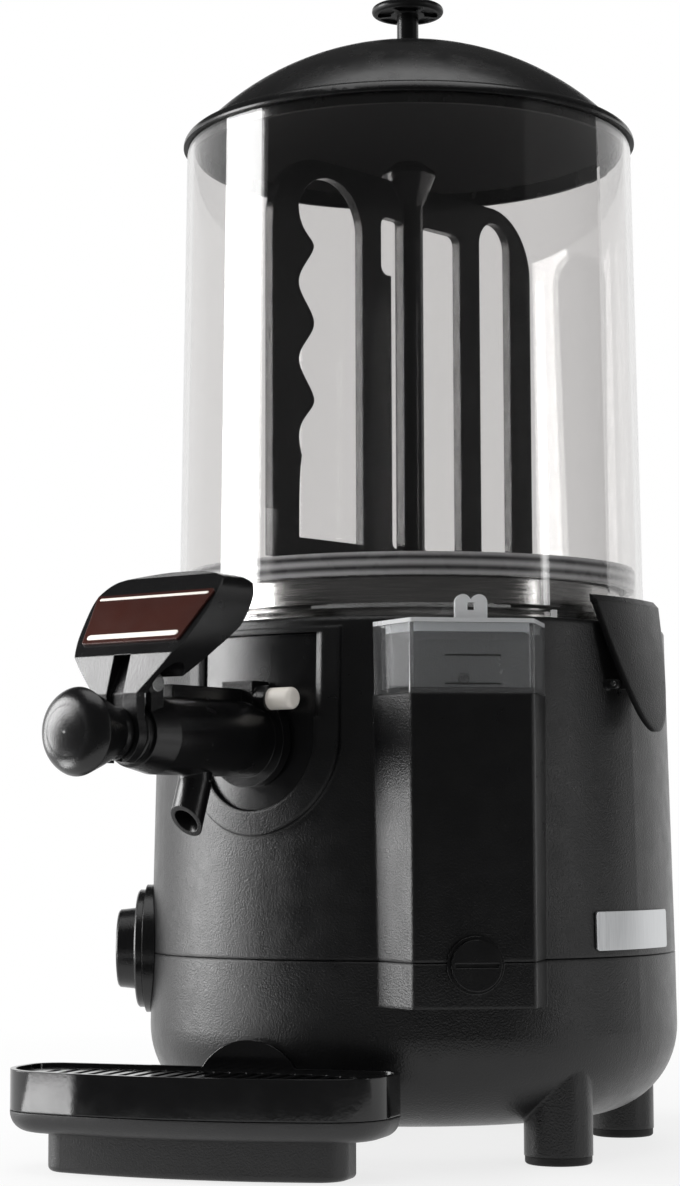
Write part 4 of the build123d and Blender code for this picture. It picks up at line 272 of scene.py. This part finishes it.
LOOKS = {
    "casing_black": BLACK, "panel_black": SATIN, "clear_plastic": CLEAR, "stirrer_black": STIR_BLACK,
    "lid_black": LID_BLACK, "steel": STEEL, "bright_steel": BRIGHT, "screw_steel": BRIGHT,
    "rubber_black": RUBBER, "seal_grey": SEAL_PAINTED_REFLECTIONS, "plate_grey": PLATE_GREY, "plate_brown": PLATE_BROWN,
    "mark_dark": MARK, "tray_black": GLOSS, "motor_metal": MOTOR, "brass": BRASS,
    "terminal_white": WHITE, "pin_ivory": IVORY,
}
OWN_LOOKS = {
    "level_box": CLEAR_BOX, "level_cap": MILKY, "level_tube": RUBBER, "tray_stand": STAND_GREY,
    "tap_lever": SATIN,
}
for part in frame["record"]["subparts"]:
    node = NODES[part["node"]]
    node.data.materials.clear()
    node.data.materials.append(OWN_LOOKS.get(part["node"], LOOKS[part["material_slot"]]))


# Pale trim lines on the bare lever plate. The plate is a slope that is given by its middle, its upward
# direction and its normal.
PLATE_MIDDLE = spot(0, -209.0, 250.2)
PLATE_UP = Vector((0, 0.6224, 0.7828))
PLATE_NORMAL = Vector((0, -0.7828, 0.6224))
PLATE_FACE = 1.0

# The strip's loops, as lift above the plate and inset of the edge, and the steps round each end
TRIM_LOOPS = ((-0.1, 0.0), (0.16, 0.0), (0.28, 0.14))
TRIM_TURNS = 8


def trim(name, above, height, half_width):
    """Thin round-ended strip on the lever plate, with a bevelled face."""
    made = bmesh.new()
    loops = []
    for lift, inset in TRIM_LOOPS:
        loop = []
        radius = height / 2 - inset
        for side in (1, -1):
            for n in range(TRIM_TURNS + 1):
                angle = side * math.pi / 2 - math.pi * n / TRIM_TURNS
                across = side * (half_width - height / 2) + radius * math.cos(angle)
                place = PLATE_MIDDLE + Vector((across / MILLIMETRES, 0, 0))
                place += PLATE_UP * ((above + radius * math.sin(angle)) / MILLIMETRES)
                place += PLATE_NORMAL * ((PLATE_FACE + lift) / MILLIMETRES)
                loop.append(made.verts.new(place))
        loops.append(loop)
    count = len(loops[0])
    for low, high in zip(loops, loops[1:]):
        for n in range(count):
            made.faces.new((low[n], low[(n + 1) % count], high[(n + 1) % count], high[n]))
    made.faces.new(loops[-1])
    made.faces.new(list(reversed(loops[0])))
    bmesh.ops.recalc_face_normals(made, faces=made.faces)
    mesh = bpy.data.meshes.new(name)
    made.to_mesh(mesh)
    made.free()
    piece = bpy.data.objects.new(name, mesh)
    bpy.context.scene.collection.objects.link(piece)
    mesh.materials.append(IVORY)
    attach(piece, "lever")


trim("plate_trim_top", above=12.4, height=1.5, half_width=32.0)
trim("plate_trim_bottom", above=-11.2, height=3.0, half_width=26.6)


# Floor, light and camera
FLOOR_HALF = 7.0
FLOOR_TONE = 0.86
FLOOR_ROUGHNESS = 0.7
# The floor glows white where it is seen, less near the object, so that the shadow stays
NEAR_GLOW, FAR_GLOW = 0.78, 1.0
NEAR_REACH, FAR_REACH = 0.25, 0.9
SKY_LIGHT, SKY_SEEN = 0.5, 1.0


def stage_plane(name, half):
    """Level square round the origin, at the height of the table."""
    mesh = bpy.data.meshes.new(name)
    corners = [(-half, -half, 0), (half, -half, 0), (half, half, 0), (-half, half, 0)]
    mesh.from_pydata(corners, [], [(0, 1, 2, 3)])
    made = bpy.data.objects.new(name, mesh)
    bpy.context.scene.collection.objects.link(made)
    return made


def seen_directly(tree):
    """1 on camera, glossy and transmission rays, which see the plain background."""
    path = tree.nodes.new("ShaderNodeLightPath")
    first = tree.nodes.new("ShaderNodeMath")
    first.operation = "MAXIMUM"
    second = tree.nodes.new("ShaderNodeMath")
    second.operation = "MAXIMUM"
    tree.links.new(path.outputs["Is Camera Ray"], first.inputs[0])
    tree.links.new(path.outputs["Is Glossy Ray"], first.inputs[1])
    tree.links.new(first.outputs[0], second.inputs[0])
    tree.links.new(path.outputs["Is Transmission Ray"], second.inputs[1])
    return second.outputs[0]


floor = stage_plane("floor", FLOOR_HALF)
floor_look, floor_tree, floor_shader = new_material("pale_floor")
floor_shader.inputs["Base Color"].default_value = (FLOOR_TONE, FLOOR_TONE, FLOOR_TONE, 1)
floor_shader.inputs["Roughness"].default_value = FLOOR_ROUGHNESS
floor_glow = floor_tree.nodes.new("ShaderNodeEmission")
floor_glow.inputs["Strength"].default_value = 1.0
floor_mix = floor_tree.nodes.new("ShaderNodeMixShader")
floor_share = floor_tree.nodes.new("ShaderNodeMath")
floor_share.operation = "MULTIPLY"
floor_spot = floor_tree.nodes.new("ShaderNodeTexCoord")
floor_reach = floor_tree.nodes.new("ShaderNodeVectorMath")
floor_reach.operation = "LENGTH"
floor_tree.links.new(floor_spot.outputs["Object"], floor_reach.inputs[0])
floor_glowing = ramp(floor_tree, floor_reach.outputs["Value"], NEAR_GLOW, FAR_GLOW, NEAR_REACH, FAR_REACH)
floor_tree.links.new(floor_glowing, floor_share.inputs[1])
floor_tree.links.new(seen_directly(floor_tree), floor_share.inputs[0])
floor_tree.links.new(floor_share.outputs[0], floor_mix.inputs["Fac"])
floor_tree.links.new(floor_shader.outputs["BSDF"], floor_mix.inputs[1])
floor_tree.links.new(floor_glow.outputs["Emission"], floor_mix.inputs[2])
floor_out = next(n for n in floor_tree.nodes if n.type == "OUTPUT_MATERIAL")
floor_tree.links.new(floor_mix.outputs["Shader"], floor_out.inputs["Surface"])
floor_look.cycles.emission_sampling = "NONE"
floor.data.materials.append(floor_look)

world = bpy.data.worlds.new("studio")
bpy.context.scene.world = world
world.use_nodes = True
sky = world.node_tree
sky.nodes.clear()
sky_out = sky.nodes.new("ShaderNodeOutputWorld")
sky_light = sky.nodes.new("ShaderNodeBackground")
sky_light.inputs["Color"].default_value = (1, 1, 1, 1)
sky_light.inputs["Strength"].default_value = SKY_LIGHT
sky_white = sky.nodes.new("ShaderNodeBackground")
sky_white.inputs["Color"].default_value = (1, 1, 1, 1)
sky_white.inputs["Strength"].default_value = SKY_SEEN
sky_mix = sky.nodes.new("ShaderNodeMixShader")
sky.links.new(seen_directly(sky), sky_mix.inputs["Fac"])
sky.links.new(sky_light.outputs["Background"], sky_mix.inputs[1])
sky.links.new(sky_white.outputs["Background"], sky_mix.inputs[2])
sky.links.new(sky_mix.outputs["Shader"], sky_out.inputs["Surface"])


CAMERA_TURN = 35.0
CAMERA_DISTANCE = 1.375
CAMERA_HEIGHT = 0.1487
CAMERA_YAW = 1.51
CAMERA_PITCH = 5.33
CAMERA_ROLL = 0.18
FOCAL_PIXELS = 2700.0
FRAME_HEIGHT = 1186.0
SENSOR = 36.0

camera_data = bpy.data.cameras.new("camera")
camera_data.sensor_width = SENSOR
camera_data.lens = SENSOR * FOCAL_PIXELS / FRAME_HEIGHT
camera_data.clip_end = 50
camera = bpy.data.objects.new("camera", camera_data)
bpy.context.scene.collection.objects.link(camera)
turn = math.radians(CAMERA_TURN)
camera_place = (CAMERA_DISTANCE * math.sin(turn), AXIS_Y - CAMERA_DISTANCE * math.cos(turn), CAMERA_HEIGHT)
camera.matrix_world = (
    Matrix.Translation(camera_place)
    @ Matrix.Rotation(turn + math.radians(CAMERA_YAW), 4, "Z")
    @ Matrix.Rotation(math.radians(90 + CAMERA_PITCH), 4, "X")
    @ Matrix.Rotation(math.radians(-CAMERA_ROLL), 4, "Z")
)
bpy.context.scene.camera = camera


def on_ring(angle, distance, height):
    """Point round the casing's axis, at an angle from the camera, positive to the camera's right."""
    around = math.radians(CAMERA_TURN + angle)
    return Vector((distance * math.sin(around), AXIS_Y - distance * math.cos(around), height))


# An area lamp's energy for each square metre and unit of radiance
ENERGY_PER_RADIANCE = 4


def lamp(name, angle, distance, height, size, radiance, tilt=0.0, facing=None, spread=180.0):
    """Soft box that the camera doesn't see. It faces the casing's axis unless facing gives another angle, and
    the tilt tips it down."""
    light = bpy.data.lights.new(name, "AREA")
    light.shape = "RECTANGLE"
    light.size, light.size_y = size
    light.energy = ENERGY_PER_RADIANCE * size[0] * size[1] * radiance
    light.spread = math.radians(spread)
    made = bpy.data.objects.new(name, light)
    bpy.context.scene.collection.objects.link(made)
    towards = angle if facing is None else facing
    made.matrix_world = (
        Matrix.Translation(on_ring(angle, distance, height))
        @ Matrix.Rotation(math.radians(CAMERA_TURN + towards), 4, "Z")
        @ Matrix.Rotation(math.radians(90 - tilt), 4, "X")
    )
    made.visible_camera = False


# Degrees from one bend of a card to the next
CARD_STEP = 6


def card(name, angles, foot, head, tone):
    """Studio card, bent round the object from foot to head (distance, height), that only reflections see."""
    steps = max(2, round((angles[1] - angles[0]) / CARD_STEP))
    points = []
    for step in range(steps + 1):
        angle = angles[0] + (angles[1] - angles[0]) * step / steps
        points += [on_ring(angle, *foot), on_ring(angle, *head)]
    mesh = bpy.data.meshes.new(name)
    mesh.from_pydata(points, [], [(2 * i, 2 * i + 2, 2 * i + 3, 2 * i + 1) for i in range(steps)])
    look = bpy.data.materials.new(name)
    look.use_nodes = True
    tree = look.node_tree
    tree.nodes.clear()
    glow = tree.nodes.new("ShaderNodeEmission")
    glow.inputs["Color"].default_value = (tone, tone, tone, 1)
    nothing = tree.nodes.new("ShaderNodeBsdfTransparent")
    path = tree.nodes.new("ShaderNodeLightPath")
    mirrored = tree.nodes.new("ShaderNodeMixShader")
    out = tree.nodes.new("ShaderNodeOutputMaterial")
    tree.links.new(path.outputs["Glossy Depth"], mirrored.inputs["Fac"])
    tree.links.new(nothing.outputs["BSDF"], mirrored.inputs[1])
    tree.links.new(glow.outputs["Emission"], mirrored.inputs[2])
    tree.links.new(mirrored.outputs["Shader"], out.inputs["Surface"])
    look.cycles.emission_sampling = "NONE"
    mesh.materials.append(look)
    made = bpy.data.objects.new(name, mesh)
    bpy.context.scene.collection.objects.link(made)
    made.visible_camera = False
    made.visible_diffuse = False
    made.visible_shadow = False


lamp("left_box", angle=-96, distance=1.0, height=0.13, size=(0.42, 0.25), radiance=7.0)
lamp("left_window", angle=-89, distance=1.0, height=0.58, size=(0.46, 0.64), radiance=8.0)
lamp("low_reflector", angle=-65, distance=0.5, height=0.01, size=(0.14, 0.26), radiance=8.0, tilt=-90)
lamp("lever_box", angle=-53, distance=0.35, height=0.29, size=(0.13, 0.11), radiance=0.4,
     tilt=25, facing=-80, spread=40)
lamp("right_strip", angle=66, distance=1.3, height=0.35, size=(0.08, 0.7), radiance=5.0)
lamp("top_box", angle=0, distance=0.2, height=1.7, size=(1.2, 1.2), radiance=1.5, tilt=90)
card("front_card", angles=(-76, 60), foot=(2.6, 0.0), head=(2.6, 2.4), tone=0.08)
card("table_card", angles=(-76, 60), foot=(0.45, 0.002), head=(2.6, 0.002), tone=0.1)
card("right_card", angles=(60, 108), foot=(2.6, 0.0), head=(2.6, 2.4), tone=0.18)
card("ceiling_card", angles=(-180, 180), foot=(3.4, 2.0), head=(0.0, 2.0), tone=0.06)

bpy.context.scene.view_settings.view_transform = "Standard"
